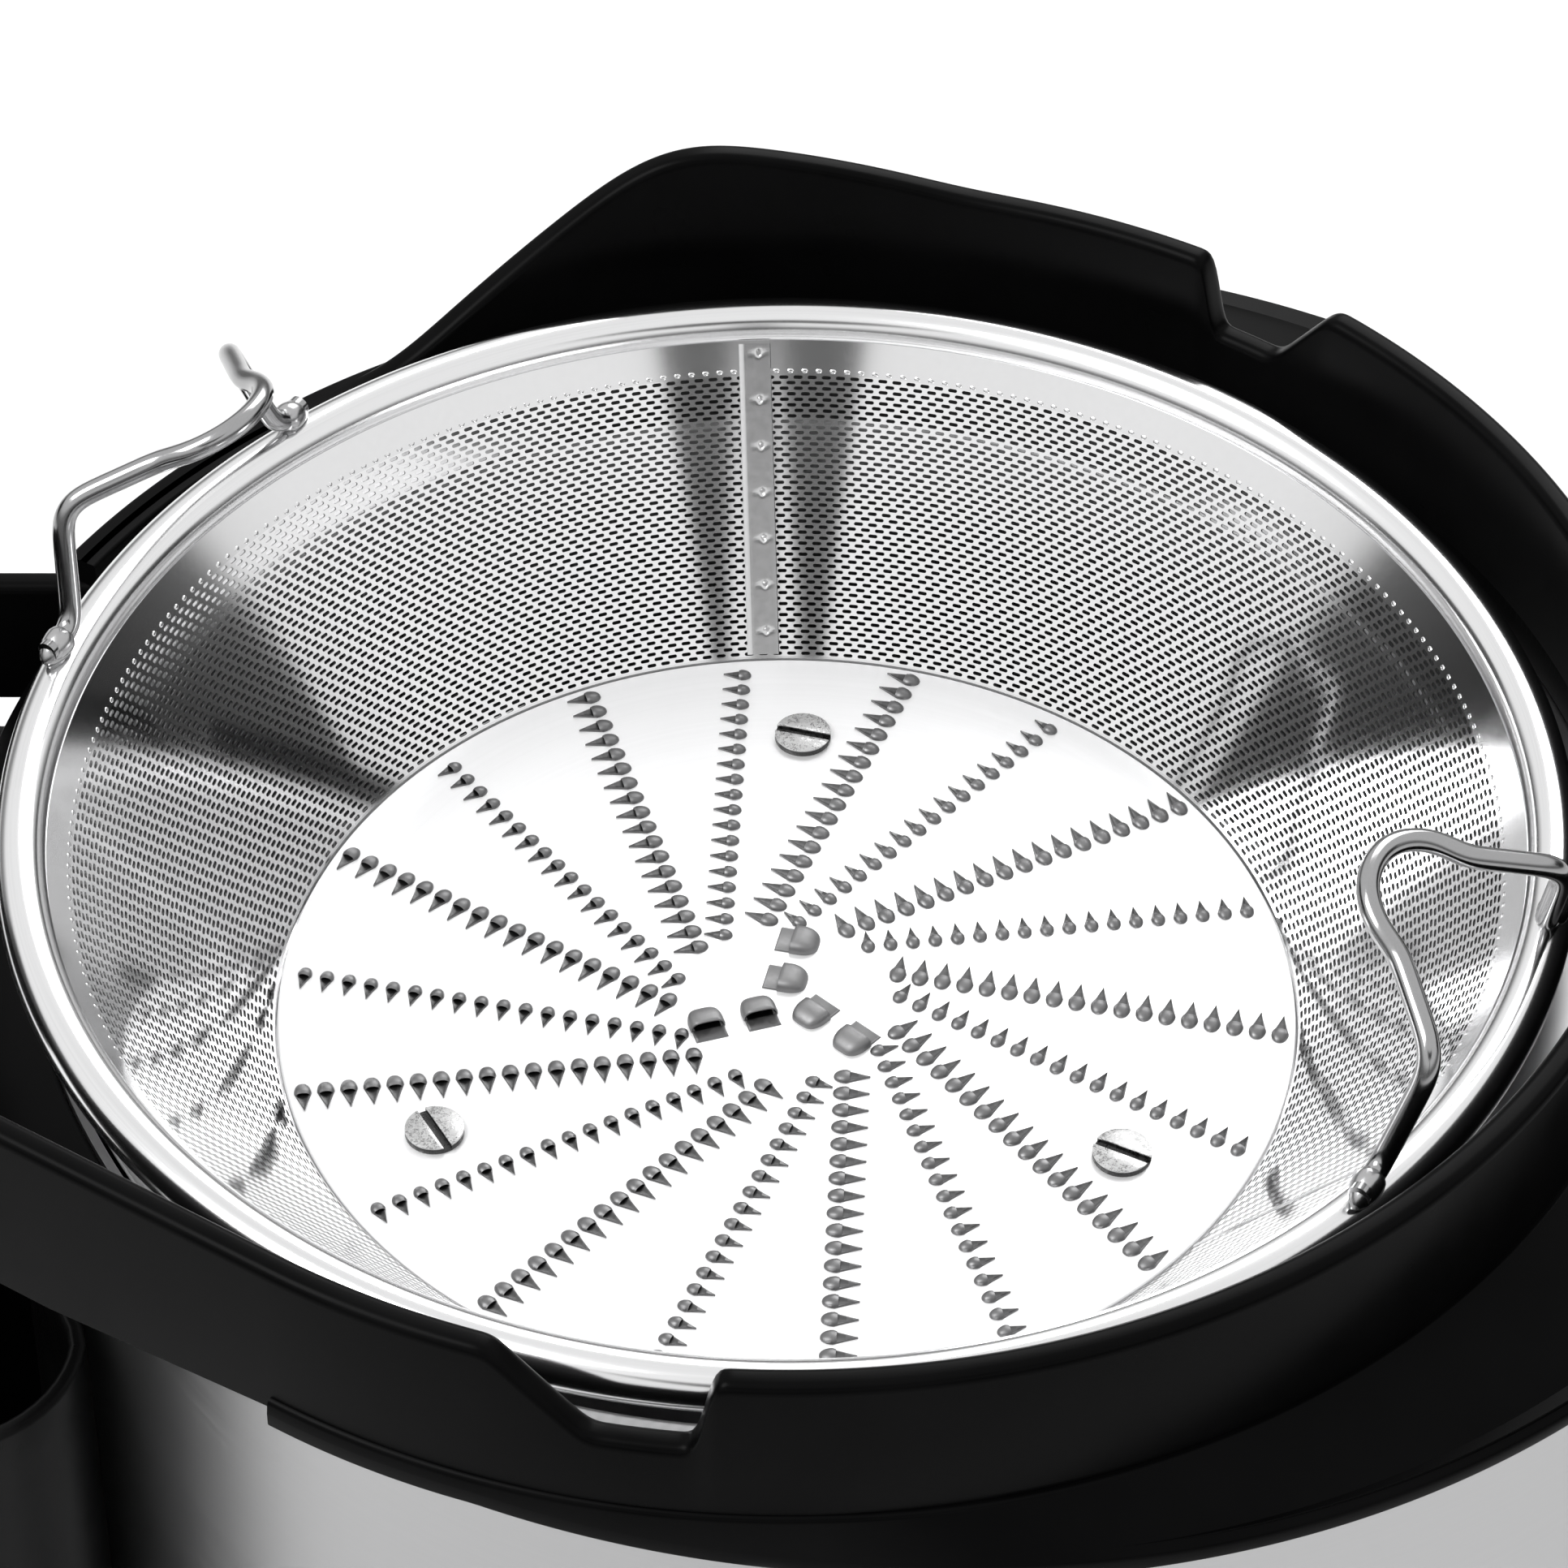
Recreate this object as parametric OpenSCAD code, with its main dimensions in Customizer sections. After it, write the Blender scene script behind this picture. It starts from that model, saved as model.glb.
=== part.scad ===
// Centrifugal juice extractor with automatic pulp ejection, lid off.
// Origin: centre of the footprint, on the surface that the feet stand on.
// +X is to the right, -Y is the operator's side, +Z is up. Units are millimetres.
// Modules below are drawn around the spindle axis, with z = 0 at the top of the grater disc.

/* [Grater disc] */
// Radius of the grater disc
disc_r = 69.7; // [68:0.1:71]
// Thickness of the grater disc
disc_t = 1.8; // [1.6:0.1:2.2]
// Height of the disc's top face above the table
disc_z = 262; // [256:1:280]
// Number of tooth rows, alternately small and big
tooth_rows = 18; // [12:2:20]
// Teeth in one row
teeth_per_row = 18; // [10:1:18]
// Distance between neighbouring teeth in a row
tooth_pitch = 3.13; // [3:0.01:3.14]
// Sideways distance of a row's tooth points from the disc's centre
row_offset = 12; // [11.8:0.1:13]
// Distance along a row of small teeth to its first tooth
row_start = 12.6; // [12:0.1:13]
// Height of a tooth above the disc
tooth_h = 1.1; // [0.8:0.1:1.6]
// Radius of the circle of disc screws
screw_circle_r = 53.2; // [50:0.1:55]
// Radius of a disc screw's head
screw_head_r = 4; // [3.5:0.1:4.4]
// Radius of a disc screw's shank
screw_shank_r = 1.95; // [1.8:0.05:2.1]

/* [Basket] */
// Inner radius of the sieve at its top edge
sieve_top_r = 98.2; // [96:0.1:100]
// Height of the sieve's top edge above the disc
sieve_h = 36.5; // [35:0.1:38]
// Thickness of the sieve, measured flat
sieve_t = 0.9; // [0.7:0.1:1.2]
// Radius of the rolled bead around the basket
bead_r = 3.4; // [3:0.1:3.8]
// Thickness of the basket's floor plate
floor_t = 2.2; // [1.8:0.1:3]
// Radius of the hub's flange
hub_flange_r = 26; // [25:0.5:30]
// Radius of the hub's boss around the shaft
hub_boss_r = 14; // [13:0.1:15]
// Width of the welded seam strip at the foot of the sieve
seam_w = 3.8; // [3:0.1:5]

/* [Basket handles] */
// Thickness of the handle wire
wire_d = 2.9; // [2.6:0.1:3]
// Half the distance between a handle's two legs at the rim
leg_half = 24.5; // [22:0.1:25]
// Half the distance between a handle's two corners
corner_half = 19.5; // [18:0.1:21]
// Height of a handle's corners above its pivot
leg_h = 16.5; // [14:0.1:18]
// Length of a handle's grip from its corners to its tip
grip_len = 20.5; // [18:0.1:22]
// Direction of the right handle, seen from above
handle_right_az = 330.5; // [325:0.5:335]
// Direction of the left handle, seen from above
handle_left_az = 149; // [145:0.5:153]

/* [Collar and chute] */
// Gap between the basket's bead and the collar, where the pulp travels
pulp_gap = 7; // [6:0.1:8]
// Thickness of the collar's wall
collar_t = 4; // [3.5:0.1:4.5]
// Height of the collar's top edge above the disc
collar_top = 53; // [51:0.5:56]
// Extra height of the raised lip at the far side
lip_rise = 6.8; // [4:0.1:8]
// Depth of the two lid notches
notch_depth = 12; // [8:0.5:14]
// Direction in which the near wall leaves the ring, seen from above
chute_az = 237; // [234:0.5:238]
// Distance from the spindle to the chute's end
chute_reach = 183; // [178:1:186]
// Distance from the spindle to the chute's far wall
chute_far = 58; // [52:0.5:60]

/* [Housing] */
// Outer radius of the brushed housing
housing_r = 124.5; // [124:0.1:127]
// Thickness of the housing's sheet
housing_t = 1.2; // [1:0.1:1.4]
// Housing centre, to the right of the spindle
housing_dx = 22; // [20:0.5:23]
// Housing centre, behind the spindle
housing_dy = 8; // [6:0.5:10]
// Depth of the flat on the housing's far right side
flat_in = 12.5; // [11:0.5:13.5]
// Direction that the flat faces, seen from above
flat_az = 36; // [34:0.5:38]
// Height of the collar's lower edge above the disc
lip_z = 20; // [19:0.1:20.5]
// Height of the rubber feet
foot_h = 12; // [10:0.5:16]
// Radius of a rubber foot
foot_r = 14; // [11:0.5:16]
// Thickness of the base pan's floor
base_t = 10; // [8:0.5:12]

/* [Juice bowl and spout] */
// Thickness of the bowl's steel
bowl_t = 1.2; // [1:0.1:1.4]
// Clearance between the sieve and the bowl's wall
bowl_gap = 7.5; // [6.5:0.1:8]
// Depth of the bowl's floor below the disc
bowl_depth = 32; // [31:0.5:34]
// Inner radius of the juice spout
spout_r = 12; // [10:0.1:12.2]
// Distance from the spindle to the spout's outlet
spout_reach = 150; // [142:1:160]
// Drop of the spout's outlet below its inlet
spout_drop = 34; // [28:1:45]

/* [Pulp bin] */
// Width of the pulp bin, left to right
bin_w = 100; // [90:1:110]
// Length of the pulp bin, front to back
bin_l = 140; // [130:1:145]
// Radius of the bin's corners
bin_corner_r = 20; // [15:1:24]
// Thickness of the bin's wall
bin_t = 2.5; // [2:0.1:3]
// Depth of the bin's rim below the disc
bin_rim = 15; // [12:0.5:30]

/* [Motor] */
// Outer radius of the stator
stator_r = 55; // [50:0.5:57]
// Height of the stator
stator_h = 55; // [45:1:58]
// Outer radius of the rotor
rotor_r = 34.5; // [30:0.5:36]
// Running gap between rotor and stator
air_gap = 0.5; // [0.4:0.1:0.8]
// Radius of the shaft where the basket fits
shaft_r = 8; // [7.5:0.1:8.4]
// Radial running clearance of shaft fits
run_fit = 0.05; // [0.02:0.01:0.08]

/* [Controls] */
// Radius of the start and stop buttons
button_r = 9; // [7:0.5:11]
// Distance between the two buttons
button_pitch = 30; // [26:1:34]
// Travel of a button
button_travel = 3; // [2:0.5:4]
// Depth of the control panel's centre below the disc
panel_depth = 175; // [150:1:190]

/* [Hidden] */
$fn = 96;
seat = 0.3;        // gap between pieces that move apart
cut = 1;           // overshoot of a cutting solid
slot_w = 1.2;      // slot of a disc screw

// Basket
disc_gap = 0.3;
foot_in = disc_r + disc_gap;
slope = (sieve_top_r - foot_in) / sieve_h;
bead_c = [sieve_top_r + bead_r, sieve_h + 0.5];
rim_r = bead_c[0] + bead_r;
floor_z = -disc_t - floor_t;
screw_az = [87.5, 207.5, 327.5];
screw_slot_az = [-15, -61, -27];
screw_head_h = 1;
scoop_az = [77, 197, 317];
scoop_at = [row_start - 8.4, row_start - 0.9];
nut_h = 3.2;
nut_af = 7;
hub_flange_t = 5;
hub_skirt_t = 3.5;
hub_skirt_z = floor_z - 20;
hub_boss_z = -bowl_depth;
rivet_r = 2;
rivet_circle_r = (hub_boss_r + hub_flange_r - hub_skirt_t) / 2;

// Handles
pivot_rad = 98.5 + rim_r - 105;
pivot_z = bead_c[1] + bead_r + wire_d / 2 + 0.25;
lug_r = wire_d / 2 + 1.15;
lug_l = 5;
lug_in = leg_half + wire_d / 2 + 0.15;
grip_tilt = 28;
leg_lean = 4;

// Collar and housing
flat_at = housing_r - flat_in;
flat_half = sqrt(housing_r * housing_r - flat_at * flat_at);
bin_clear = 3;     // gap between the housing and the bin's curved side
ring_in = rim_r + pulp_gap;
ring_out = ring_in + collar_t;
ridge_z = 30;
ridge_w = 0.7;
facet_turn = 1.3;  // keeps the shoulder's corners off the cuts at the pulp opening
lip_t = 2.5;
lip_r = housing_r + 1.5;
housing_top = lip_z + 1.7;
housing_fit = 0.3;
flange_z = housing_top + seat;
flange_r = ring_out + 2;
ring_far_end = 180 - asin(chute_far / ring_out);
chute_wall_z = 25;
chute_low_z = 5;
chute_low_top = 26;
chute_root_x = housing_dx - sqrt(pow(housing_r + seat, 2) - pow(chute_far - collar_t / 2 - housing_dy, 2));
collar_screw_head_r = 3.2;
apron_out = housing_r + bin_clear + bin_t + 6;
apron_az = [180 - asin((chute_far - housing_dy) / apron_out), 211];
notch_az = [57.5, 265];
notch_run = [5.5, 7];
notch_ramp = [4.5, 6];
collar_screw_az = [20, 75, 325];
collar_screw_at = ring_in + 3;

// Bowl and deck
bowl_r = foot_in + sieve_t + slope * flange_z + bowl_gap;
tube_in = hub_boss_r + 3.5;
tube_top = floor_z - hub_flange_t - 3;
gasket_t = 4.8;
gasket_out = disc_r - 3.7;
gasket_in = gasket_out - 8;
deck_top = -bowl_depth - bowl_t - gasket_t;
deck_t = 6;
deck_r = housing_r - housing_t - 0.5;
spout_t = 1.2;
spout_z = -bowl_depth + spout_r + 0.5;
outlet_r = spout_r + spout_t - 0.3;
outlet_l = 20;     // length of the turned-down seat at the outlet

// Bearings: [shaft radius, outer radius, width, top z, ball radius, ball count]
brg_top_z = deck_top - deck_t - 1;
bearing_w = [12, 11];
upper_seat_r = shaft_r + 0.5;
lower_seat_r = shaft_r - 0.5;
bearings = [
    [upper_seat_r, upper_seat_r + 11.5, bearing_w[0], brg_top_z, 3.3, 8],
    [lower_seat_r, lower_seat_r + 10, bearing_w[1], brg_top_z - bearing_w[0] - 101, 2.9, 8]
];
boss_r = bearings[0][1] + 7;
boss_z = brg_top_z - bearing_w[0] - 3;

// Motor
rotor_bore = shaft_r + 1.5;
stator_top = boss_z - 20;
stator_mid = stator_top - stator_h / 2;
casing_t = 3.3;
casing_in = stator_r + 0.1;
casing_out = casing_in + casing_t;
casing_bottom = bearings[1][3];
motor_flange_r = casing_out + 13;
bell_t = 8;
fan_top = casing_bottom - 20;
fan_h = 14;
tail_r = 6;
motor_screw_az = [45, 135, 225, 315];

// Base
base_top = -disc_z + foot_h + base_t;
base_bottom = -disc_z + foot_h;
base_rim_h = 8;
base_r = lip_r + 0.5;
rod_az = [flat_az - 18, 110, 190, 300];
rod_circle_r = 105;
rod_r = 5;
stud_r = 3;

// Pulp bin and its tray
bin_nest = 9.5;    // how far the bin's corners reach round the housing
bin_x1 = housing_dx - housing_r + bin_nest;
bin_x0 = bin_x1 - bin_w;
bin_y0 = 2 - bin_l / 2;
tray_t = 6;
tray_top = base_bottom + tray_t;
tray_edge = 4;
bin_bottom = tray_top + seat;

// Controls
panel_z = -panel_depth;
bezel_w = button_pitch + 2 * button_r + 18;
bezel_h = 2 * button_r + 22;
bezel_proud = 4.5;
front_y = housing_dy - housing_r;
bezel_y = front_y - bezel_proud;
box_d = 25;
bore_d = 19;
button_proud = 3.5;
stem_r = 3;
stem_gap = 0.5;
gland_y = housing_dy + housing_r;
gland_l = 15;
gland_depth = 215;
vent_y = [for (i = [-5:5]) i * flat_half / 6];
vent_w = 3.5;
vent_h = 60;
vent_z = base_top + 22;

// Footprint and origin
reach_left = -bin_x0 + tray_edge;
reach_right = housing_dx + base_r;
reach_front = spout_reach + spout_r + spout_t;
reach_back = gland_y + gland_l;
spindle_x = (reach_left - reach_right) / 2;
spindle_y = (reach_front - reach_back) / 2;

feet = concat(
    [for (a = [40, 140, 220, 320]) [housing_dx + 98 * cos(a), housing_dy + 98 * sin(a)]],
    [for (y = [bin_y0 + 22, bin_y0 + bin_l - 22]) [bin_x0 + 18, y]]
);

// ---------------------------------------------------------------- helpers

// Moves what is drawn around the spindle, at disc height, to its place above the table
module place() {
    translate([spindle_x, spindle_y, disc_z]) children();
}

// Moves what is drawn around the housing's axis
module at_housing() {
    translate([housing_dx, housing_dy, 0]) children();
}

// Round body with the housing's flat, grown outwards from the housing's outer face
module shell(grow, z0, z1) {
    difference() {
        at_housing() post(housing_r + grow, z0, z1);
        past_flat(grow, z0 - cut, z1 + cut);
    }
}

// Everything beyond the housing's flat, moved outwards by grow
module past_flat(grow, z0, z1) {
    at_housing() rotate(flat_az) translate([flat_at + grow, -housing_r, z0])
        cube([housing_r, 2 * housing_r, z1 - z0]);
}

// Cylinder from z0 up to z1
module post(r, z0, z1) {
    translate([0, 0, z0]) cylinder(r = r, h = z1 - z0);
}

// Ring from z0 up to z1
module tube(r_out, r_in, z0, z1) {
    difference() {
        post(r_out, z0, z1);
        post(r_in, z0 - cut, z1 + cut);
    }
}

// Cylinder along +Y from y0 to y1
module rod_y(r, y0, y1) {
    translate([0, y0, 0]) rotate([-90, 0, 0]) cylinder(r = r, h = y1 - y0);
}

// Box with upright round corners, made of true cylinders
module rounded_box(x0, y0, w, l, r, z0, z1) {
    translate([x0 + r, y0, z0]) cube([w - 2 * r, l, z1 - z0]);
    translate([x0, y0 + r, z0]) cube([w, l - 2 * r, z1 - z0]);
    for (x = [x0 + r, x0 + w - r], y = [y0 + r, y0 + l - r])
        translate([x, y, 0]) post(r, z0, z1);
}

// Sector cutter between two directions, seen from above
module sector(a0, a1, r, z0, z1) {
    mid = (a0 + a1) / 2;
    translate([0, 0, z0]) linear_extrude(z1 - z0) polygon([
        [0, 0],
        [r * cos(a0), r * sin(a0)],
        [1.6 * r * cos(mid), 1.6 * r * sin(mid)],
        [r * cos(a1), r * sin(a1)]
    ]);
}

function unit(v) = v / norm(v);

// Points of an arc that rounds the corner b of the path a, b, c
function fillet(a, b, c, r, n = 6) =
    let (u = unit(a - b), v = unit(c - b), half = acos(u * v) / 2)
    let (m = unit(u + v), centre = b + m * r / sin(half), w = unit(u - v))
    [for (i = [0:n]) let (t = (90 - half) * (1 - 2 * i / n)) centre + r * (w * sin(t) - m * cos(t))];

// Tube of a wire swept along a path, as one closed polyhedron
module wire(path, r, sides = 12) {
    last = len(path) - 1;
    tan_at = [for (i = [0:last]) unit(path[min(i + 1, last)] - path[max(i - 1, 0)])];
    rings = [for (i = [0:last])
        let (side = unit(cross(tan_at[i], [0.31, 0.95, 0.02])), up = cross(side, tan_at[i]))
        for (k = [0:sides - 1]) path[i] + r * (side * cos(360 * k / sides) + up * sin(360 * k / sides))];
    walls = [for (i = [0:last - 1], k = [0:sides - 1])
        let (n = (k + 1) % sides)
        [i * sides + k, i * sides + n, (i + 1) * sides + n, (i + 1) * sides + k]];
    ends = [[for (k = [0:sides - 1]) sides - 1 - k], [for (k = [0:sides - 1]) last * sides + k]];
    polyhedron(rings, concat([for (f = walls) [f[3], f[2], f[1], f[0]]],
        [for (f = ends) [for (k = [0:sides - 1]) f[sides - 1 - k]]]), convexity = 6);
}

// ---------------------------------------------------------------- basket

module grater_disc() {
    color("gainsboro") place() difference() {
        post(disc_r, -disc_t, 0);
        for (a = screw_az) rotate(a) translate([screw_circle_r, 0, 0])
            post(screw_shank_r + 0.25, -disc_t - cut, cut);
    }
}

// One raised tooth with its point at the origin, pointing along +Y
module tooth(len, w) {
    base = [[0, 0], [0.5, -0.58], [0.32, -1], [-0.32, -1], [-0.5, -0.58]];
    pts = concat([for (p = base) [p[0] * w, p[1] * len, 0]], [[0, -0.66 * len, tooth_h]]);
    polyhedron(pts, concat([[0, 1, 2, 3, 4]], [for (i = [0:4]) [(i + 1) % 5, i, 5]]));
}

module grater_teeth() {
    step = 360 / tooth_rows;
    color("dimgray") place() for (k = [0:tooth_rows - 1]) {
        big = k % 2;
        rotate(67.5 + step * (k + 1)) for (i = [0:teeth_per_row - 1])
            translate([row_start + (big ? 1.2 : 0) + i * tooth_pitch, row_offset, 0])
                tooth(big ? 5 : 4, big ? 2.4 : 2);
    }
}

// Domed scoop with a cut mouth, facing +Y
module scoop() {
    difference() {
        intersection() {
            translate([0, 0, -1]) sphere(r = 2.8);
            translate([-2.45, -1.95, 0]) cube([4.9, 3.9, 2]);
        }
        translate([-1.5, 0.8, -cut]) cube([3, 3, 1.1 + cut]);
    }
}

module coring_cutters() {
    color("gray") place() for (a = scoop_az, r = scoop_at)
        rotate(a) translate([r, 0, 0]) scoop();
}

module disc_screws() {
    color("silver") place() for (i = [0:2]) rotate(screw_az[i]) translate([screw_circle_r, 0, 0]) {
        difference() {
            post(screw_head_r, 0, screw_head_h);
            rotate(screw_slot_az[i] - screw_az[i])
                translate([-screw_head_r - cut, -slot_w / 2, screw_head_h - 0.7])
                    cube([2 * (screw_head_r + cut), slot_w, 1]);
        }
        post(screw_shank_r, floor_z - nut_h - 1, 0);
    }
}

module disc_nuts() {
    color("silver") place() for (a = screw_az) rotate(a) translate([screw_circle_r, 0, 0])
        difference() {
            translate([0, 0, floor_z - nut_h]) cylinder(r = nut_af / sqrt(3), h = nut_h, $fn = 6);
            post(screw_shank_r, floor_z - nut_h - cut, floor_z + cut);
        }
}

module basket_floor() {
    color("silver") place() difference() {
        post(foot_in + sieve_t, floor_z, -disc_t);
        for (a = screw_az) rotate(a) translate([screw_circle_r, 0, 0])
            post(screw_shank_r + 0.05, floor_z - cut, 0);
        for (a = [0, 90, 180, 270]) rotate(a) translate([rivet_circle_r, 0, 0])
            post(rivet_r, floor_z - cut, 0);
    }
}

module basket_hub() {
    color("lightgray") place() difference() {
        union() {
            post(hub_flange_r, floor_z - hub_flange_t, floor_z);
            post(hub_boss_r, hub_boss_z, floor_z);
            tube(hub_flange_r, hub_flange_r - hub_skirt_t, hub_skirt_z, floor_z);
        }
        post(shaft_r + run_fit, hub_boss_z - cut, floor_z - 4);
        translate([-hub_boss_r - cut, -2.15, hub_boss_z - cut])
            cube([2 * (hub_boss_r + cut), 4.3, 5.3 + cut]);
        for (a = [0, 90, 180, 270]) rotate(a) translate([rivet_circle_r, 0, 0])
            post(rivet_r, floor_z - hub_flange_t - cut, floor_z + cut);
    }
}

module hub_rivets() {
    color("silver") place() for (a = [0, 90, 180, 270]) rotate(a) translate([rivet_circle_r, 0, 0]) {
        post(rivet_r, floor_z - hub_flange_t, -disc_t);
        post(rivet_r + 1, floor_z - hub_flange_t - 1.2, floor_z - hub_flange_t);
    }
}

module sieve_wall() {
    color("lightsteelblue") place() rotate_extrude() polygon([
        [foot_in, -disc_t],
        [foot_in, 0],
        [sieve_top_r, sieve_h],
        [sieve_top_r + sieve_t, sieve_h],
        [foot_in + sieve_t, 0],
        [foot_in + sieve_t, -disc_t]
    ]);
}

module seam_strip() {
    lo = 1;
    hi = sieve_h - 3;
    color("silver") place() rotate(91) rotate_extrude(angle = seam_w / foot_in * 180 / PI) polygon([
        [foot_in + slope * lo - 0.5, lo],
        [foot_in + slope * hi - 0.5, hi],
        [foot_in + slope * hi, hi],
        [foot_in + slope * lo, lo]
    ]);
}

module bead() {
    rotate_extrude() translate(bead_c) circle(r = bead_r, $fn = 48);
}

module basket_rim() {
    color("whitesmoke") place() bead();
}

// ---------------------------------------------------------------- handles

// Puts +X outwards, +Y along the rim and the origin on a handle's pivot line
module at_pivot(az) {
    rotate(az) translate([pivot_rad, 0, pivot_z]) children();
}

module handle_lugs() {
    color("silver") place() difference() {
        for (az = [handle_right_az, handle_left_az]) at_pivot(az) for (s = [0, 1]) mirror([0, s, 0])
            difference() {
                union() {
                    rod_y(lug_r, lug_in, lug_in + lug_l);
                    translate([-lug_r, lug_in, -lug_r - 1]) cube([2 * lug_r, lug_l, lug_r + 1]);
                }
                rod_y(wire_d / 2 + run_fit, lug_in - cut, lug_in + lug_l + cut);
            }
        bead();
    }
}

// Centre line of a handle from its left pin to its right pin
function handle_path() =
    let (
        pin = lug_in + lug_l,
        foot = [0, leg_half, 0],
        corner = [leg_lean, corner_half, leg_h],
        d = [-cos(grip_tilt), 0, sin(grip_tilt)],
        tip_r = 8.5,
        flank = corner + d * (grip_len - tip_r) - [0, corner_half - tip_r - 0.6, 0],
        half = concat(
            [[0, pin, 0]],
            fillet([0, pin, 0], foot, corner, 2.6),
            fillet(foot, corner, flank, 4.5),
            [for (i = [0:6]) let (t = 4 + i * 86 / 6)
                [leg_lean, 0, leg_h] + d * (grip_len - tip_r + tip_r * sin(t)) + [0, tip_r * cos(t), 0]]
        ),
        n = len(half) - 1
    )
    concat(half, [for (i = [1:n]) [half[n - i][0], -half[n - i][1], half[n - i][2]]]);

module handle(az) {
    color("silver") place() at_pivot(az) wire(handle_path(), wire_d / 2);
}

module handle_left() { handle(handle_left_az); }
module handle_right() { handle(handle_right_az); }

// ---------------------------------------------------------------- spindle and bearings

module drive_shaft() {
    lower = bearings[1];
    color("gray") place() difference() {
        union() {
            post(shaft_r, brg_top_z, floor_z - 4 - seat);
            post(upper_seat_r, brg_top_z - bearing_w[0], brg_top_z);
            post(rotor_bore, lower[3], brg_top_z - bearing_w[0]);
            post(lower_seat_r, lower[3] - lower[2], lower[3]);
            post(tail_r, fan_top - fan_h - 4, lower[3] - lower[2]);
        }
        translate([0, 0, hub_boss_z + 3]) rotate([0, 90, 0]) cylinder(r = 2, h = 60, center = true);
    }
}

module drive_pin() {
    color("dimgray") place() translate([0, 0, hub_boss_z + 3]) rotate([0, 90, 0])
        cylinder(r = 2, h = 2 * hub_boss_r - 1, center = true);
}

function pitch_r(b) = (b[0] + b[1]) / 2;

module groove(b) {
    translate([0, 0, b[3] - b[2] / 2]) rotate_extrude() translate([pitch_r(b), 0])
        circle(r = b[4] + run_fit, $fn = 36);
}

module inner_races() {
    color("lightslategray") place() for (b = bearings) difference() {
        tube(pitch_r(b) - b[4] * 0.7, b[0], b[3] - b[2], b[3]);
        groove(b);
    }
}

module outer_races() {
    color("slategray") place() for (b = bearings) difference() {
        tube(b[1], pitch_r(b) + b[4] * 0.7, b[3] - b[2], b[3]);
        groove(b);
    }
}

module bearing_balls() {
    color("white") place() for (b = bearings) for (i = [0:b[5] - 1])
        rotate(i * 360 / b[5]) translate([pitch_r(b), 0, b[3] - b[2] / 2]) sphere(r = b[4]);
}

module shaft_seal() {
    color("black") place() tube(shaft_r + 6, shaft_r + run_fit, deck_top - 5, deck_top);
}

// ---------------------------------------------------------------- motor

module motor_rotor() {
    color("darkgray") place() {
        tube(rotor_r, rotor_bore, stator_top - stator_h, stator_top);
        for (z = [stator_top, stator_top - stator_h - 5]) tube(rotor_r - 2, rotor_r - 12, z, z + 5);
    }
}

module motor_stator() {
    color("slategray") place() tube(stator_r, rotor_r + air_gap, stator_top - stator_h, stator_top);
}

module stator_windings() {
    color("chocolate") place() for (s = [0, 1])
        translate([0, 0, stator_mid]) mirror([0, 0, s]) tube(stator_r - 3, rotor_r + 3.5,
            stator_h / 2, stator_h / 2 + 12);
}

module motor_casing() {
    color("lightgray") place() difference() {
        union() {
            tube(casing_out, casing_in, casing_bottom, deck_top - deck_t);
            tube(motor_flange_r, casing_in, deck_top - deck_t - 5, deck_top - deck_t);
        }
        for (a = motor_screw_az) rotate(a) translate([casing_out + 6, 0, 0])
            post(2.6, deck_top - deck_t - 5 - cut, deck_top - deck_t + cut);
    }
}

module motor_end_bell() {
    low = bearings[1];
    color("lightgray") place() difference() {
        union() {
            post(casing_out, casing_bottom - bell_t, casing_bottom);
            post(low[1] + 6, casing_bottom - low[2] - 3, casing_bottom);
        }
        post(low[1], casing_bottom - low[2], casing_bottom + cut);
        post(low[0] + 4, casing_bottom - low[2] - 3 - cut, casing_bottom);
        for (a = [0:30:330]) rotate(a) translate([(casing_in + low[1]) / 2 + 2, 0, 0])
            post(4, casing_bottom - bell_t - cut, casing_bottom + cut);
    }
}

module motor_screws() {
    low = deck_top - deck_t - 5;
    color("silver") place() for (a = motor_screw_az) rotate(a) {
        translate([casing_out + 6, 0, 0]) {
            post(2.5, low, deck_top - 1);
            post(4.5, low - 4, low);
        }
        translate([casing_out - casing_t / 2, 0, 0])
            post(2.5, casing_bottom - bell_t - 2.5, casing_bottom - bell_t);
    }
}

module cooling_fan() {
    color("dimgray") place() {
        tube(tail_r + 6, tail_r, fan_top - fan_h, fan_top);
        for (a = [0:45:315]) rotate(a) translate([tail_r + 5, 0, fan_top - fan_h / 2])
            rotate([35, 0, 0]) translate([0, -0.8, -6]) cube([36, 1.6, 12]);
    }
}

// ---------------------------------------------------------------- deck, bowl and spout

module deck_plate() {
    color("silver") place() difference() {
        union() {
            shell(deck_r - housing_r, deck_top - deck_t, deck_top);
            post(boss_r, boss_z, deck_top);
        }
        post(bearings[0][1], boss_z - cut, brg_top_z);
        post(shaft_r + 2, boss_z, deck_top + cut);
        post(shaft_r + 6, deck_top - 5, deck_top + cut);
        at_housing() for (a = rod_az) rotate(a) translate([rod_circle_r, 0, 0])
            post(stud_r + 0.3, deck_top - deck_t - cut, deck_top + cut);
        for (a = motor_screw_az) rotate(a) translate([casing_out + 6, 0, 0])
            post(2.5, deck_top - deck_t - cut, deck_top - 1);
    }
}

module tie_rods() {
    color("silver") place() at_housing() for (a = rod_az) rotate(a) translate([rod_circle_r, 0, 0]) {
        post(rod_r, base_top, deck_top - deck_t);
        post(stud_r, deck_top - deck_t, deck_top + 4.5);
        post(stud_r, base_bottom + 2, base_top);
    }
}

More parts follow.
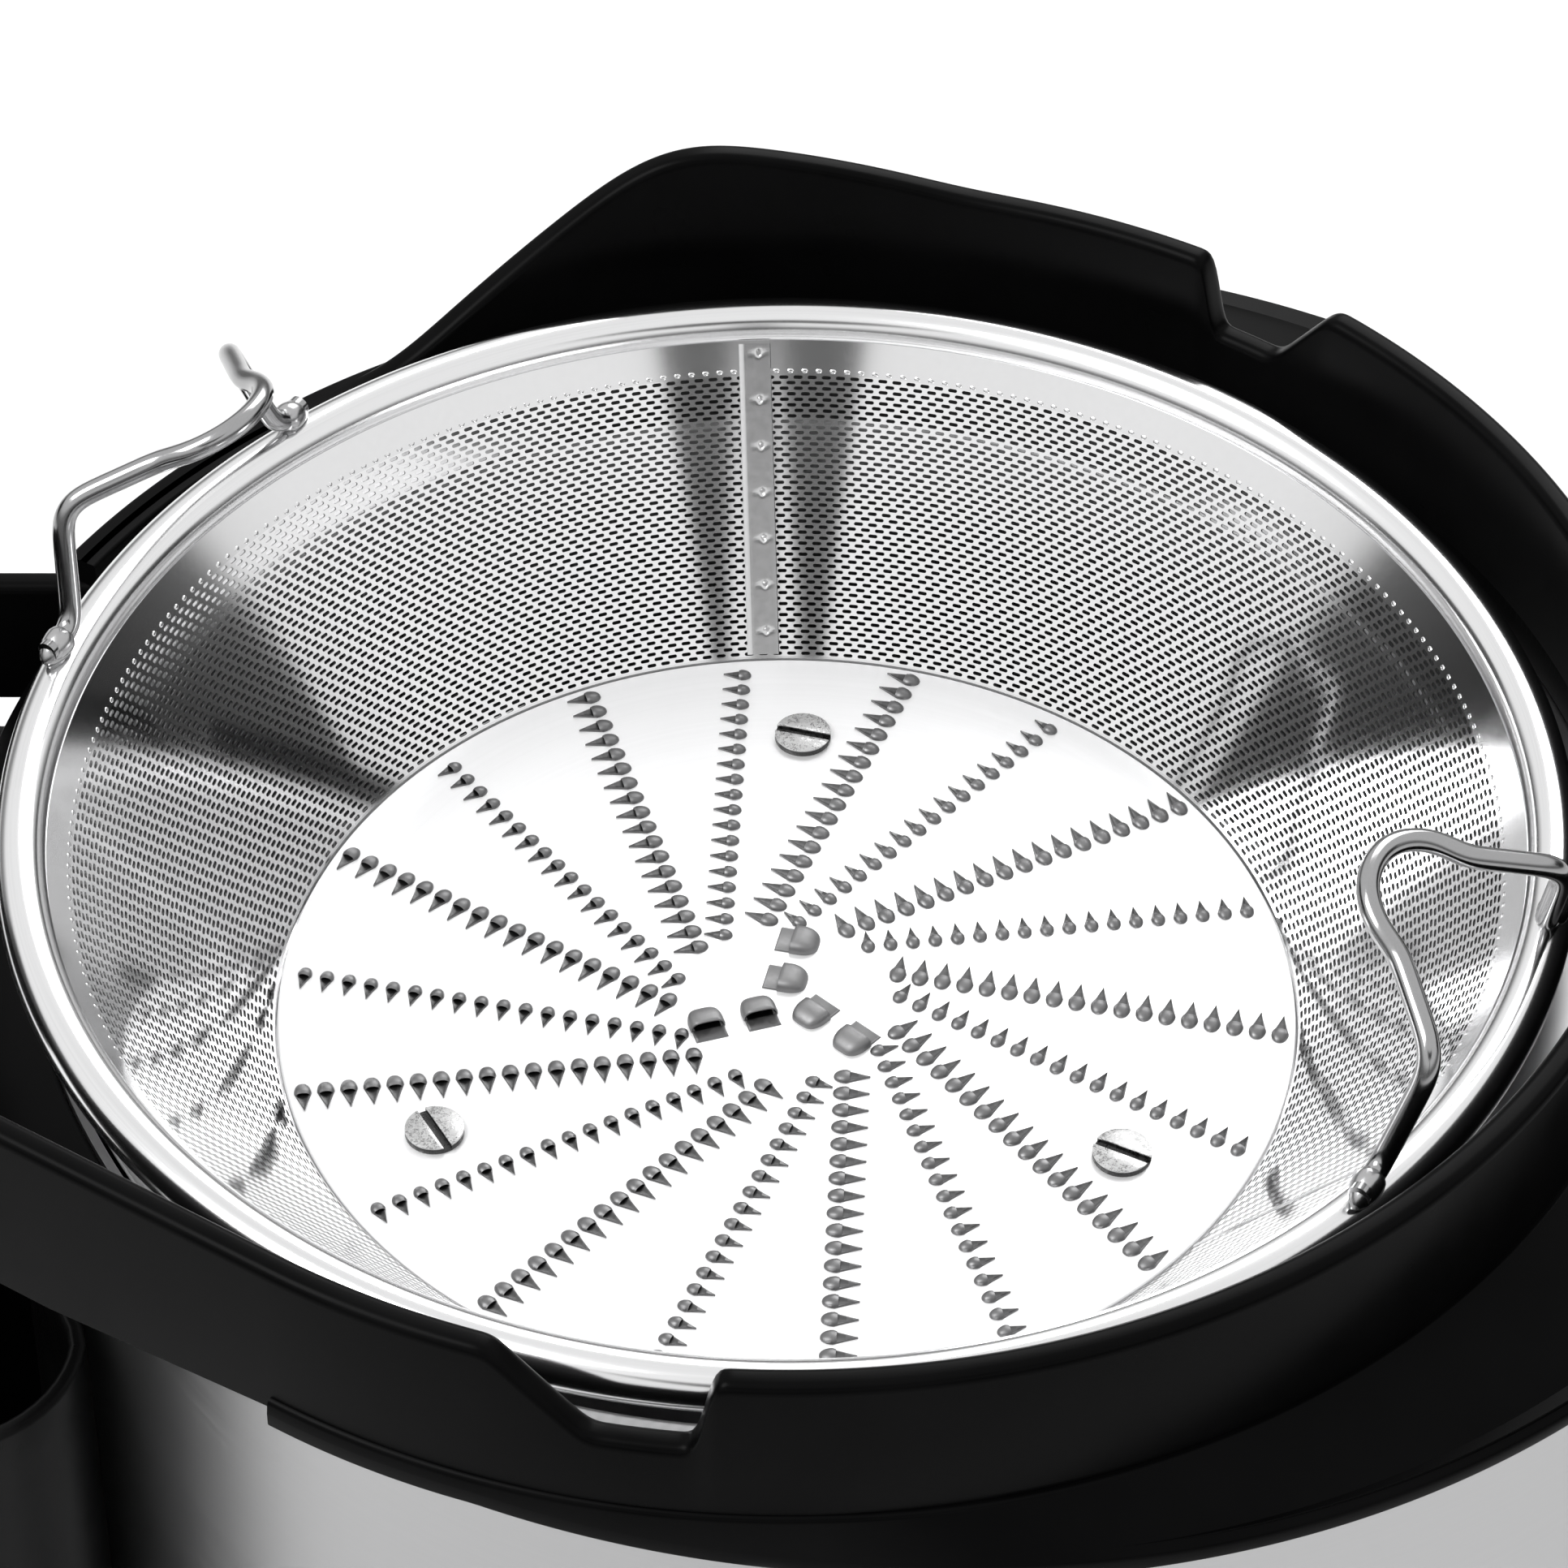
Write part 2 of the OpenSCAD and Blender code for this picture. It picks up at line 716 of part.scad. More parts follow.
module tie_rod_nuts() {
    color("silver") place() at_housing() for (a = rod_az) rotate(a) translate([rod_circle_r, 0, 0])
        difference() {
            translate([0, 0, deck_top]) cylinder(r = 5.5, h = 4, $fn = 6);
            post(stud_r, deck_top - cut, deck_top + 4 + cut);
        }
}

module bowl_gasket() {
    color("black") place() tube(gasket_out, gasket_in, deck_top, -bowl_depth - bowl_t);
}

// Hole through the bowl's wall and the edge of its floor, where the spout is welded in
module spout_hole() {
    translate([0, 0, spout_z]) rod_y(spout_r + spout_t, -bowl_r - 6, 0);
}

module juice_bowl() {
    color("gainsboro") place() difference() {
        union() {
            tube(bowl_r + bowl_t, bowl_r, -bowl_depth, flange_z + bowl_t);
            intersection() {
                tube(flange_r, bowl_r, flange_z, flange_z + bowl_t);
                at_housing() post(housing_r - housing_t - seat, flange_z - cut, flange_z + 2 * cut);
            }
        }
        spout_hole();
        for (a = collar_screw_az) rotate(a) translate([collar_screw_at, 0, 0])
            post(2.1, flange_z - cut, flange_z + bowl_t + cut);
    }
}

module bowl_floor() {
    color("gainsboro") place() difference() {
        tube(bowl_r + bowl_t, tube_in + bowl_t, -bowl_depth - bowl_t, -bowl_depth);
        spout_hole();
    }
}

module bowl_sleeve() {
    color("gainsboro") place() tube(tube_in + bowl_t, tube_in, -bowl_depth - bowl_t, tube_top);
}

module juice_spout() {
    r = spout_r + spout_t;
    color("silver") place() difference() {
        union() {
            translate([0, 0, spout_z]) rod_y(r, -spout_reach, -bowl_r + 1);
            translate([0, -spout_reach, spout_z]) sphere(r = r);
            translate([0, -spout_reach, 0]) {
                post(r, spout_z - spout_drop + outlet_l, spout_z);
                post(outlet_r, spout_z - spout_drop, spout_z);
            }
        }
        translate([0, 0, spout_z]) rod_y(spout_r, -spout_reach, -bowl_r + 1 + cut);
        translate([0, -spout_reach, spout_z]) sphere(r = spout_r);
        translate([0, -spout_reach, 0]) post(spout_r, spout_z - spout_drop - cut, spout_z);
    }
}

module spout_grommet() {
    y = housing_dy - sqrt(housing_r * housing_r - housing_dx * housing_dx);
    color("black") place() translate([0, 0, spout_z]) difference() {
        union() {
            rod_y(spout_r + spout_t + 2.2, y - 3, y + 4);
            rod_y(spout_r + spout_t + 5, y - 5, y - 3);
        }
        rod_y(spout_r + spout_t, y - 5 - cut, y + 4 + cut);
    }
}

// ---------------------------------------------------------------- collar and chute

// Wedge that cuts a lid notch: a step, a flat floor and a ramp back up
module notch(i) {
    r = ring_out;
    run = r * notch_run[i] * PI / 180;
    ramp = r * notch_ramp[i] * PI / 180;
    rotate(notch_az[i]) translate([ring_in - 6, 0, collar_top - notch_depth])
        rotate([90, 0, 90]) linear_extrude(collar_t + 12) polygon([
            [0, 0],
            [-run, 0],
            [-run - 2 * ramp, 2 * notch_depth],
            [0, 2 * notch_depth]
        ]);
}

// Outline of the collar behind the spindle, seen from the front
module far_outline() {
    peak = collar_top + lip_rise;
    translate([0, ring_out + 2, 0]) rotate([90, 0, 0]) linear_extrude(ring_out + 2) polygon([
        [ring_out + 2, lip_z],
        [ring_out + 2, collar_top],
        [0.23 * ring_in, collar_top],
        [-0.11 * ring_in, peak],
        [-0.14 * ring_in, peak - 0.3],
        [-0.2 * ring_in, peak - 2.8],
        [-0.51 * ring_in, ridge_z],
        [-0.87 * ring_in, ridge_z - 4],
        [-0.87 * ring_in, lip_z]
    ]);
}

// One round post at each of the collar's screws
module at_collar_screws(r, z0, z1) {
    for (a = collar_screw_az) rotate(a) translate([collar_screw_at, 0, 0]) post(r, z0, z1);
}

// Everything of the collar that is above the bowl's flange and outside the pulp's way
module collar_bounds() {
    difference() {
        children();
        post(ring_in, lip_z - cut, 90);
        shell(housing_fit, lip_z - cut, housing_top + 0.2);
        intersection() {
            post(flange_r + seat, lip_z, flange_z + bowl_t + 0.2);
            at_housing() post(housing_r, lip_z, flange_z + 3);
        }
        sector(ring_far_end, chute_az, 170, lip_z - cut, 90);
        at_collar_screws(collar_screw_head_r + seat, lip_z - cut, flange_z + bowl_t);
        at_collar_screws(1.7, lip_z, ridge_z - 1);
    }
}

module collar() {
    color("#1c1c1e") place() collar_bounds() hull() {
        rotate(facet_turn) post(ring_out + ridge_w, ridge_z - 2, ridge_z, $fn = 120);
        difference() {
            at_housing() rotate(facet_turn) post(lip_r, lip_z, lip_z + lip_t, $fn = 120);
            past_flat(lip_r - housing_r, lip_z - cut, lip_z + lip_t + cut);
        }
    }
}

module collar_wall() {
    color("#1c1c1e") place() difference() {
        union() {
            intersection() {
                tube(ring_out, ring_in, ridge_z, collar_top + lip_rise);
                far_outline();
            }
            intersection() {
                tube(ring_out, ring_in, ridge_z, collar_top);
                translate([-ring_out - 1, -ring_out - 1, 0]) cube([2 * ring_out + 2, ring_out + 1.5, 90]);
            }
        }
        sector(ring_far_end, chute_az, 170, lip_z - cut, 90);
        for (i = [0, 1]) notch(i);
    }
}

// Curved sill that leads the pulp from the bowl's flange over the inner edge of the bin
module chute_apron() {
    low = chute_low_z + 6;
    at_housing() rotate(apron_az[0]) rotate_extrude(angle = apron_az[1] - apron_az[0]) polygon([
        [housing_r + seat, flange_z - 2],
        [housing_r + seat, flange_z],
        [apron_out, low + 2],
        [apron_out, low]
    ]);
}

module pulp_chute() {
    run = (chute_reach - ring_out * -cos(chute_az)) / -cos(chute_az - 90);
    end_y = ring_out * sin(chute_az) + run * sin(chute_az - 90);
    color("#1c1c1e") place() difference() {
        union() {
            rotate(chute_az - 90) translate([0, ring_in, chute_wall_z])
                cube([run, collar_t, collar_top - chute_wall_z]);
            translate([-chute_reach, end_y, 0]) rotate([90, 0, 90]) linear_extrude(collar_t) polygon([
                [0, chute_low_z],
                [0, collar_top],
                [chute_far - end_y, chute_low_top],
                [chute_far - end_y, chute_low_z]
            ]);
            translate([-chute_reach, chute_far - collar_t / 2, chute_low_z])
                cube([chute_reach + ring_out * cos(ring_far_end), collar_t, chute_low_top - chute_low_z]);
            translate([-chute_reach, chute_far - collar_t / 2, chute_low_z])
                cube([chute_reach + chute_root_x, collar_t, lip_z - seat - chute_low_z]);
            chute_apron();
        }
        post(ring_in, flange_z + 1, 90);
    }
}

module collar_screws() {
    color("silver") place() {
        at_collar_screws(collar_screw_head_r, flange_z - 2.4, flange_z);
        at_collar_screws(1.65, flange_z, ridge_z - 2);
    }
}

// ---------------------------------------------------------------- housing, base and feet

module outer_housing() {
    spout_y = -housing_r;
    color("lightgray") place() difference() {
        shell(0, base_top, housing_top);
        shell(-housing_t, base_top - cut, housing_top + cut);
        translate([0, 0, spout_z]) rod_y(spout_r + spout_t + 2.3, spout_y - 20, 0);
        translate([housing_dx - bezel_w / 2 + 4 - 0.2, bezel_y - cut, panel_z - bezel_h / 2 + 4 - 0.2])
            cube([bezel_w - 8 + 0.4, 40, bezel_h - 8 + 0.4]);
        at_housing() rotate(flat_az) for (y = vent_y) translate([flat_at - 10, y - vent_w / 2, vent_z])
            cube([20, vent_w, vent_h]);
        translate([housing_dx, 0, -gland_depth]) rod_y(6.2, gland_y - 10, gland_y + cut);
    }
}

module base_pan() {
    color("#222222") place() difference() {
        union() {
            at_housing() post(base_r, base_bottom, base_top + base_rim_h);
            difference() {
                rounded_box(bin_x0 - tray_edge, bin_y0 - tray_edge, bin_w + 40, bin_l + 2 * tray_edge,
                    bin_corner_r, base_bottom, tray_top + 3);
                translate([bin_x0 - 3 * tray_edge, bin_y0 - 0.8, tray_top])
                    cube([bin_w + 60, bin_l + 1.6, 20]);
            }
        }
        shell(housing_fit, base_top, base_top + base_rim_h + cut);
        at_housing() for (a = rod_az) rotate(a) translate([rod_circle_r, 0, 0])
            post(stud_r, base_bottom + 2, base_top + cut);
        for (a = [0:30:330]) rotate(a) translate([34, -2.5, base_bottom - cut])
            cube([20, 5, base_t + 2 * cut]);
        for (p = feet) translate([p[0], p[1], 0]) post(2.2, base_bottom - cut, base_bottom + 4);
    }
}

module foot(i) {
    color("#151515") place() translate([feet[i][0], feet[i][1], -disc_z]) {
        cylinder(r1 = foot_r - 2, r2 = foot_r, h = foot_h);
        post(2.2, foot_h, foot_h + 4);
    }
}

module foot_1() { foot(0); }
module foot_2() { foot(1); }
module foot_3() { foot(2); }
module foot_4() { foot(3); }
module foot_5() { foot(4); }
module foot_6() { foot(5); }

module pulp_bin() {
    t = bin_t;
    color("#202022") place() difference() {
        rounded_box(bin_x0, bin_y0, bin_w, bin_l, bin_corner_r, bin_bottom, -bin_rim);
        at_housing() post(housing_r + bin_clear, bin_bottom - cut, 0);
        difference() {
            rounded_box(bin_x0 + t, bin_y0 + t, bin_w - 2 * t, bin_l - 2 * t, bin_corner_r - t,
                bin_bottom + t, 0);
            at_housing() post(housing_r + bin_clear + t, bin_bottom, 1);
        }
    }
}

// ---------------------------------------------------------------- controls and wiring

module switch_bezel() {
    color("#202022") place() translate([housing_dx, 0, panel_z]) difference() {
        union() {
            difference() {
                translate([-bezel_w / 2, bezel_y, -bezel_h / 2]) cube([bezel_w, 12, bezel_h]);
                translate([0, housing_dy, -bezel_h]) cylinder(r = housing_r, h = 2 * bezel_h);
            }
            translate([-bezel_w / 2 + 4, bezel_y + 2, -bezel_h / 2 + 4])
                cube([bezel_w - 8, box_d - 2, bezel_h - 8]);
        }
        for (s = [-1, 1]) translate([s * button_pitch / 2, 0, 0]) {
            rod_y(button_r + 0.06, bezel_y - cut, bezel_y + bore_d);
            rod_y(stem_r + 0.3, bezel_y, bezel_y + box_d + cut);
        }
    }
}

// Push button whose face stands proud of the bezel, pressed along +Y
module button(side, tint) {
    color(tint) place() translate([housing_dx + side * button_pitch / 2, 0, panel_z]) {
        rod_y(button_r, bezel_y - button_proud, bezel_y + bore_d - button_travel - 3);
        rod_y(stem_r, bezel_y + 5, bezel_y + box_d - button_travel - stem_gap);
    }
}

module start_button() { button(-1, "seagreen"); }
module stop_button() { button(1, "firebrick"); }

module contact_blocks() {
    color("#303034") place() for (s = [-1, 1])
        translate([housing_dx + s * button_pitch / 2 - 9, bezel_y + box_d, panel_z - 10]) cube([18, 16, 20]);
}

cap_at = [housing_dx + housing_r - 46.5, housing_dy + 17];
cap_r = 17;
cap_h = 66;

module run_capacitor() {
    color("whitesmoke") place() translate([cap_at[0], cap_at[1], base_top]) {
        cylinder(r = cap_r, h = cap_h);
        for (x = [-6, 6]) translate([x - 1.5, -0.4, cap_h]) cube([3, 0.8, 9]);
    }
}

module capacitor_clip() {
    color("silver") place() translate([cap_at[0], cap_at[1], base_top]) {
        tube(cap_r + 1.2, cap_r, 20, 32);
        translate([cap_r + 1, -6, 0]) cube([1.2, 12, 26]);
        translate([cap_r + 1, -6, 0]) cube([10, 12, 1.2]);
    }
}

module terminal_block() {
    color("ivory") place() translate([housing_dx + housing_r - 58.5, housing_dy - 56, base_top]) difference() {
        cube([16, 44, 14]);
        for (i = [0:3]) translate([8, 5.5 + i * 11, 6]) cylinder(r = 3, h = 10);
    }
}

module cable_gland() {
    color("#202022") place() translate([housing_dx, 0, -gland_depth]) difference() {
        union() {
            rod_y(6, gland_y - 8, gland_y + 2);
            rod_y(10, gland_y + 0.05, gland_y + 8);
            rod_y(8, gland_y + 8, gland_y + gland_l);
            rod_y(10, gland_y - 8, gland_y - housing_t - 0.4);
        }
        rod_y(3.6, gland_y - 8 - cut, gland_y + gland_l + cut);
    }
}

grater_disc();
grater_teeth();
coring_cutters();
disc_screws();
disc_nuts();
basket_floor();
basket_hub();
hub_rivets();
sieve_wall();
seam_strip();
basket_rim();
handle_lugs();
handle_left();
handle_right();
drive_shaft();
drive_pin();
inner_races();
bearing_balls();
motor_rotor();
cooling_fan();
outer_races();
shaft_seal();
motor_stator();
stator_windings();
motor_casing();
motor_end_bell();
motor_screws();
deck_plate();
tie_rods();
tie_rod_nuts();
bowl_gasket();
juice_bowl();
bowl_floor();
bowl_sleeve();
juice_spout();
spout_grommet();
collar();
collar_wall();
pulp_chute();
collar_screws();
outer_housing();
base_pan();
foot_1();
foot_2();
foot_3();
foot_4();
foot_5();
foot_6();
pulp_bin();
switch_bezel();
start_button();
stop_button();
contact_blocks();
run_capacitor();
capacitor_clip();
terminal_block();
cable_gland();
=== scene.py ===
"""The looks of a centrifugal juice extractor with its lid off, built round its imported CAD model.

Sizes are in millimetres from the spindle's axis at the top face of the grater disc, with azimuths in
degrees from +X towards +Y. Each piece is moved into the model's frame, in metres, as its mesh is made.
"""

import logging
import math
from collections.abc import Sequence
from dataclasses import dataclass
from enum import Enum

import bpy
import numpy as np
from mathutils import Matrix, Vector


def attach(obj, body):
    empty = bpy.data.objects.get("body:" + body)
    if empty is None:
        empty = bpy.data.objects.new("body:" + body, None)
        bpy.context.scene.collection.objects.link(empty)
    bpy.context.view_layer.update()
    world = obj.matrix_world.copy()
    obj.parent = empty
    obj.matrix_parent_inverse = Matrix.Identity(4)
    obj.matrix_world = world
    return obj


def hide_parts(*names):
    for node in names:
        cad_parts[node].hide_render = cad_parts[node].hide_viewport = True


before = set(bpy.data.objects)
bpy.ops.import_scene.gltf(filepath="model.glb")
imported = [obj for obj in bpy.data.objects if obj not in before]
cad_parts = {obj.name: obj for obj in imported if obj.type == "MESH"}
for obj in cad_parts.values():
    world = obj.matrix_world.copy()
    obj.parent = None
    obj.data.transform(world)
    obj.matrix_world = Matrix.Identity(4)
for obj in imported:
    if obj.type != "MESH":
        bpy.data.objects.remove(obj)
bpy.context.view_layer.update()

LOG = logging.getLogger("juice_extractor")
# The spindle at the disc's top face in the model's frame, and the housing's axis from it.
SPINDLE = np.array([24.25, 7.85, 262.0])
HOUSING_AXIS = (22.0, 8.0)
# What Blender's wave texture multiplies a place by at a scale of 1.
WAVE_RATE = 20.0


# ------------------------------------------------------------------ outlines and paths


def arc_points(
    centre: Sequence[float], radius: float, start: float, end: float, steps: int
) -> np.ndarray:
    """Points along a plane arc.

    Args:
        centre: Centre of the arc.
        radius: Radius of the arc.
        start: First angle in degrees.
        end: Last angle in degrees.
        steps: Number of intervals.

    Returns:
        An array of steps + 1 points.
    """
    angle = np.radians(np.linspace(start, end, steps + 1))
    return np.stack([centre[0] + radius * np.cos(angle), centre[1] + radius * np.sin(angle)], 1)


def rounded(corners: Sequence[Sequence[float]], steps: int = 4, closed: bool = True) -> np.ndarray:
    """Rounds the corners of an outline.

    Args:
        corners: Points, each followed by the radius of its rounding.
        steps: Intervals in each rounding.
        closed: Whether the last corner joins the first.

    Returns:
        The outline as an array of points.
    """
    size = len(corners[0]) - 1
    points = [np.array(c[:size], float) for c in corners]
    made: list[np.ndarray] = []
    for i, here in enumerate(points):
        radius = corners[i][size]
        if radius <= 0 or (not closed and i in (0, len(points) - 1)):
            made.append(here)
            continue
        before, after = points[i - 1] - here, points[(i + 1) % len(points)] - here
        reach_b, reach_a = np.linalg.norm(before), np.linalg.norm(after)
        u, v = before / reach_b, after / reach_a
        half = math.acos(float(np.clip(u @ v, -1, 1))) / 2
        if half > math.radians(89.5):
            made += [here] * (steps + 1)
            continue
        back = min(radius / math.tan(half), 0.49 * reach_b, 0.49 * reach_a)
        radius = back * math.tan(half)
        mid = (u + v) / np.linalg.norm(u + v)
        side = (u - v) / np.linalg.norm(u - v)
        centre = here + mid * radius / math.sin(half)
        for k in range(steps + 1):
            turn = (math.pi / 2 - half) * (1 - 2 * k / steps)
            made.append(centre + radius * (side * math.sin(turn) - mid * math.cos(turn)))
    return np.array(made)


def quarter(steps: int, first: int = 0) -> list[tuple[float, float]]:
    """Steps through a quarter turn.

    Args:
        steps: Intervals in the quarter.
        first: Number of the first step that is kept.

    Returns:
        The sine and cosine of each step.
    """
    turns = [math.pi / 2 * k / steps for k in range(first, steps + 1)]
    return [(math.sin(turn), math.cos(turn)) for turn in turns]


def polar(radius: np.ndarray, angle: np.ndarray, height: np.ndarray) -> np.ndarray:
    """Points at a distance and azimuth, in radians, about an upright axis and at a height."""
    return np.stack(np.broadcast_arrays(radius * np.cos(angle), radius * np.sin(angle), height), -1)


def level(line: np.ndarray, height: float) -> np.ndarray:
    """A plane line laid at one height."""
    return np.column_stack([line, np.full(len(line), height)])


def azimuth(place: Sequence[float], centre: Sequence[float]) -> float:
    """Direction in degrees of one plane point from another."""
    return math.degrees(math.atan2(place[1] - centre[1], place[0] - centre[0]))


def housing_reach(azimuth: np.ndarray, radius: float) -> np.ndarray:
    """Distance from the spindle to a circle about the housing's axis.

    Args:
        azimuth: Directions in radians.
        radius: Radius of the circle.

    Returns:
        The distance along each direction.
    """
    along = HOUSING_AXIS[0] * np.cos(azimuth) + HOUSING_AXIS[1] * np.sin(azimuth)
    return along + np.sqrt(along**2 + radius**2 - HOUSING_AXIS[0] ** 2 - HOUSING_AXIS[1] ** 2)


def inset(outline: np.ndarray, by: float) -> np.ndarray:
    """Moves an anticlockwise outline inwards.

    Args:
        outline: Points of the outline.
        by: Distance.

    Returns:
        The moved points.
    """
    ahead = np.roll(outline, -1, 0) - outline
    behind = outline - np.roll(outline, 1, 0)
    ahead /= np.maximum(np.linalg.norm(ahead, axis=1, keepdims=True), 1e-9)
    behind /= np.maximum(np.linalg.norm(behind, axis=1, keepdims=True), 1e-9)
    mean = ahead + behind
    mean /= np.linalg.norm(mean, axis=1, keepdims=True)
    stretch = np.clip((mean * ahead).sum(1), 0.35, 1)[:, None]
    return outline + by / stretch * np.stack([-mean[:, 1], mean[:, 0]], 1)


def soften(values: np.ndarray, width: float) -> np.ndarray:
    """Smooths a list of evenly spaced values, with the ends held.

    Args:
        values: The values.
        width: Standard deviation of the smoothing, in samples.

    Returns:
        The smoothed values.
    """
    reach = int(4 * width) + 1
    kernel = np.exp(-0.5 * (np.arange(-reach, reach + 1) / width) ** 2)
    padded = np.concatenate([np.full(reach, values[0]), values, np.full(reach, values[-1])])
    return np.convolve(padded, kernel / kernel.sum(), "valid")


# ------------------------------------------------------------------ meshes


class Facets:
    """A mesh under construction, in millimetres from the spindle."""

    def __init__(self) -> None:
        """Starts with no points."""
        self.points: list[np.ndarray] = []
        self.polys: list[tuple[np.ndarray, int]] = []
        self.normals: list[np.ndarray] = []
        self.total = 0

    def add(self, points: np.ndarray, polys: np.ndarray, slot: int = 0) -> None:
        """Adds points and the faces between them.

        Args:
            points: Array of points.
            polys: Array of faces, as indices into points.
            slot: Material index of the faces.
        """
        points = np.asarray(points, float).reshape(-1, 3)
        self.polys.append((np.asarray(polys, int) + self.total, slot))
        self.points.append(points)
        self.total += len(points)

    def grid(
        self, net: np.ndarray, wrap_u: bool = False, wrap_v: bool = False, flip: bool = False, slot: int = 0
    ) -> None:
        """Adds a net of quads.

        Args:
            net: Points as an array of rows, columns and coordinates.
            wrap_u: Whether the last row joins the first.
            wrap_v: Whether the last column joins the first.
            flip: Whether the faces look the other way.
            slot: Material index.
        """
        rows, cols = net.shape[:2]
        i, j = np.meshgrid(
            np.arange(rows if wrap_u else rows - 1), np.arange(cols if wrap_v else cols - 1), indexing="ij"
        )
        i2, j2 = (i + 1) % rows, (j + 1) % cols
        quads = np.stack([i * cols + j, i2 * cols + j, i2 * cols + j2, i * cols + j2], -1).reshape(-1, 4)
        self.add(net, quads[:, ::-1] if flip else quads, slot)

    def lathe(
        self,
        profile: np.ndarray,
        steps: int = 256,
        centre: Sequence[float] = (0.0, 0.0),
        start: float = 0.0,
        sweep: float = 360.0,
        closed: bool = True,
    ) -> None:
        """Turns a profile of radius and height about an upright axis.

        Args:
            profile: Points, anticlockwise with the radius to the right.
            steps: Intervals round the axis.
            centre: Place of the axis.
            start: First azimuth in degrees.
            sweep: Angle turned through.
            closed: Whether the profile's last point joins its first.
        """
        full = abs(sweep - 360) < 1e-6
        angle = np.radians(start + np.linspace(0, sweep, steps + 1)[: steps if full else None])
        net = polar(profile[:, 0][None], angle[:, None], profile[:, 1][None]) + (*centre, 0.0)
        self.grid(net, wrap_u=full, wrap_v=closed)
        if not full and closed:
            face = np.arange(len(profile))[None]
            self.add(net[0], face)
            self.add(net[-1], face[:, ::-1])

    def loft(self, rings: np.ndarray, caps: bool = True, wrap: bool = False) -> None:
        """Joins closed rings that run anticlockwise about the way from the first to the last.

        Args:
            rings: Array of rings of points.
            caps: Whether the first and last rings are closed by a face.
            wrap: Whether the last ring joins the first.
        """
        self.grid(rings, wrap_u=wrap, wrap_v=True, flip=True)
        if caps and not wrap:
            face = np.arange(rings.shape[1])[None]
            self.add(rings[0], face[:, ::-1])
            self.add(rings[-1], face)

    def tube(
        self, path: np.ndarray, radius: float | np.ndarray, sides: int = 16, caps: bool = True
    ) -> None:
        """Sweeps a round section along a path.

        Args:
            path: Points of the centre line.
            radius: One radius, or one for each point.
            sides: Points round the section.
            caps: Whether the ends are closed.
        """
        path = np.asarray(path, float)
        ahead = np.gradient(path, axis=0)
        ahead /= np.linalg.norm(ahead, axis=1, keepdims=True)
        side = np.cross(ahead[0], [0.31, 0.9, 0.3])
        rings = []
        radii = np.broadcast_to(radius, len(path))
        angle = np.linspace(0, 2 * math.pi, sides, endpoint=False)
        for point, way, r in zip(path, ahead, radii):
            side = side - way * (side @ way)
            side /= np.linalg.norm(side)
            up = np.cross(way, side)
            rings.append(point + r * (np.cos(angle)[:, None] * side + np.sin(angle)[:, None] * up))
        self.loft(np.array(rings), caps=caps)

    def place(self, other: "Facets", matrix: Matrix) -> None:
        """Adds a moved copy of another mesh.

        Args:
            other: The mesh to copy.
            matrix: Its movement.
        """
        turn = np.array(matrix)
        self.polys += [(polys + self.total, slot) for polys, slot in other.polys]
        self.points += [points @ turn[:3, :3].T + turn[:3, 3] for points in other.points]
        self.total += other.total

    def mesh(self, name: str, sharp: float = 35.0, weld: bool = True) -> bpy.types.Mesh:
        """Makes the Blender mesh.

        Args:
            name: Name of the mesh.
            sharp: Edges with a wider angle than this stay sharp.
            weld: Whether points that meet become one.

        Returns:
            The mesh, in metres in the model's frame.
        """
        mesh = bpy.data.meshes.new(name)
        points = (np.concatenate(self.points) + SPINDLE) / 1000
        sizes = np.concatenate([np.full(len(p), p.shape[1]) for p, _ in self.polys])
        loops = np.concatenate([p.reshape(-1) for p, _ in self.polys])
        slots = np.concatenate([np.full(len(p), s) for p, s in self.polys])
        if weld:
            key = np.round(points * 2e6).astype(np.int64)
            _, first, back = np.unique(key, axis=0, return_index=True, return_inverse=True)
            points, loops = points[first], back.reshape(-1)[loops]
            loops, sizes, slots = self._clean(loops, sizes, slots)
        mesh.vertices.add(len(points))
        mesh.vertices.foreach_set("co", points.astype(np.float32).reshape(-1))
        mesh.loops.add(len(loops))
        mesh.loops.foreach_set("vertex_index", loops.astype(np.int32))
        mesh.polygons.add(len(sizes))
        starts = np.concatenate([[0], np.cumsum(sizes)[:-1]])
        mesh.polygons.foreach_set("loop_start", starts.astype(np.int32))
        mesh.polygons.foreach_set("material_index", slots.astype(np.int32))
        mesh.polygons.foreach_set("use_smooth", np.ones(len(sizes), bool))
        mesh.update(calc_edges=True)
        if self.normals:
            mesh.normals_split_custom_set_from_vertices(np.concatenate(self.normals).tolist())
        else:
            mesh.set_sharp_from_angle(angle=math.radians(sharp))
        return mesh

    @staticmethod
    def _clean(
        loops: np.ndarray, sizes: np.ndarray, slots: np.ndarray
    ) -> tuple[np.ndarray, np.ndarray, np.ndarray]:
        """Drops corners that welding has doubled, and faces left with fewer than three.

        Args:
            loops: Corners of all faces in a row.
            sizes: Number of corners of each face.
            slots: Material index of each face.

        Returns:
            The same three arrays, cleaned.
        """
        starts = np.concatenate([[0], np.cumsum(sizes)[:-1]])
        owner = np.repeat(np.arange(len(sizes)), sizes)
        behind = np.arange(len(loops)) - 1
        behind[starts] = starts + sizes - 1
        keep = loops != loops[behind]
        left = np.bincount(owner[keep], minlength=len(sizes))
        keep &= left[owner] >= 3
        sizes = np.bincount(owner[keep], minlength=len(sizes))
        return loops[keep], sizes[sizes >= 3], slots[sizes >= 3]


# ------------------------------------------------------------------ finishes


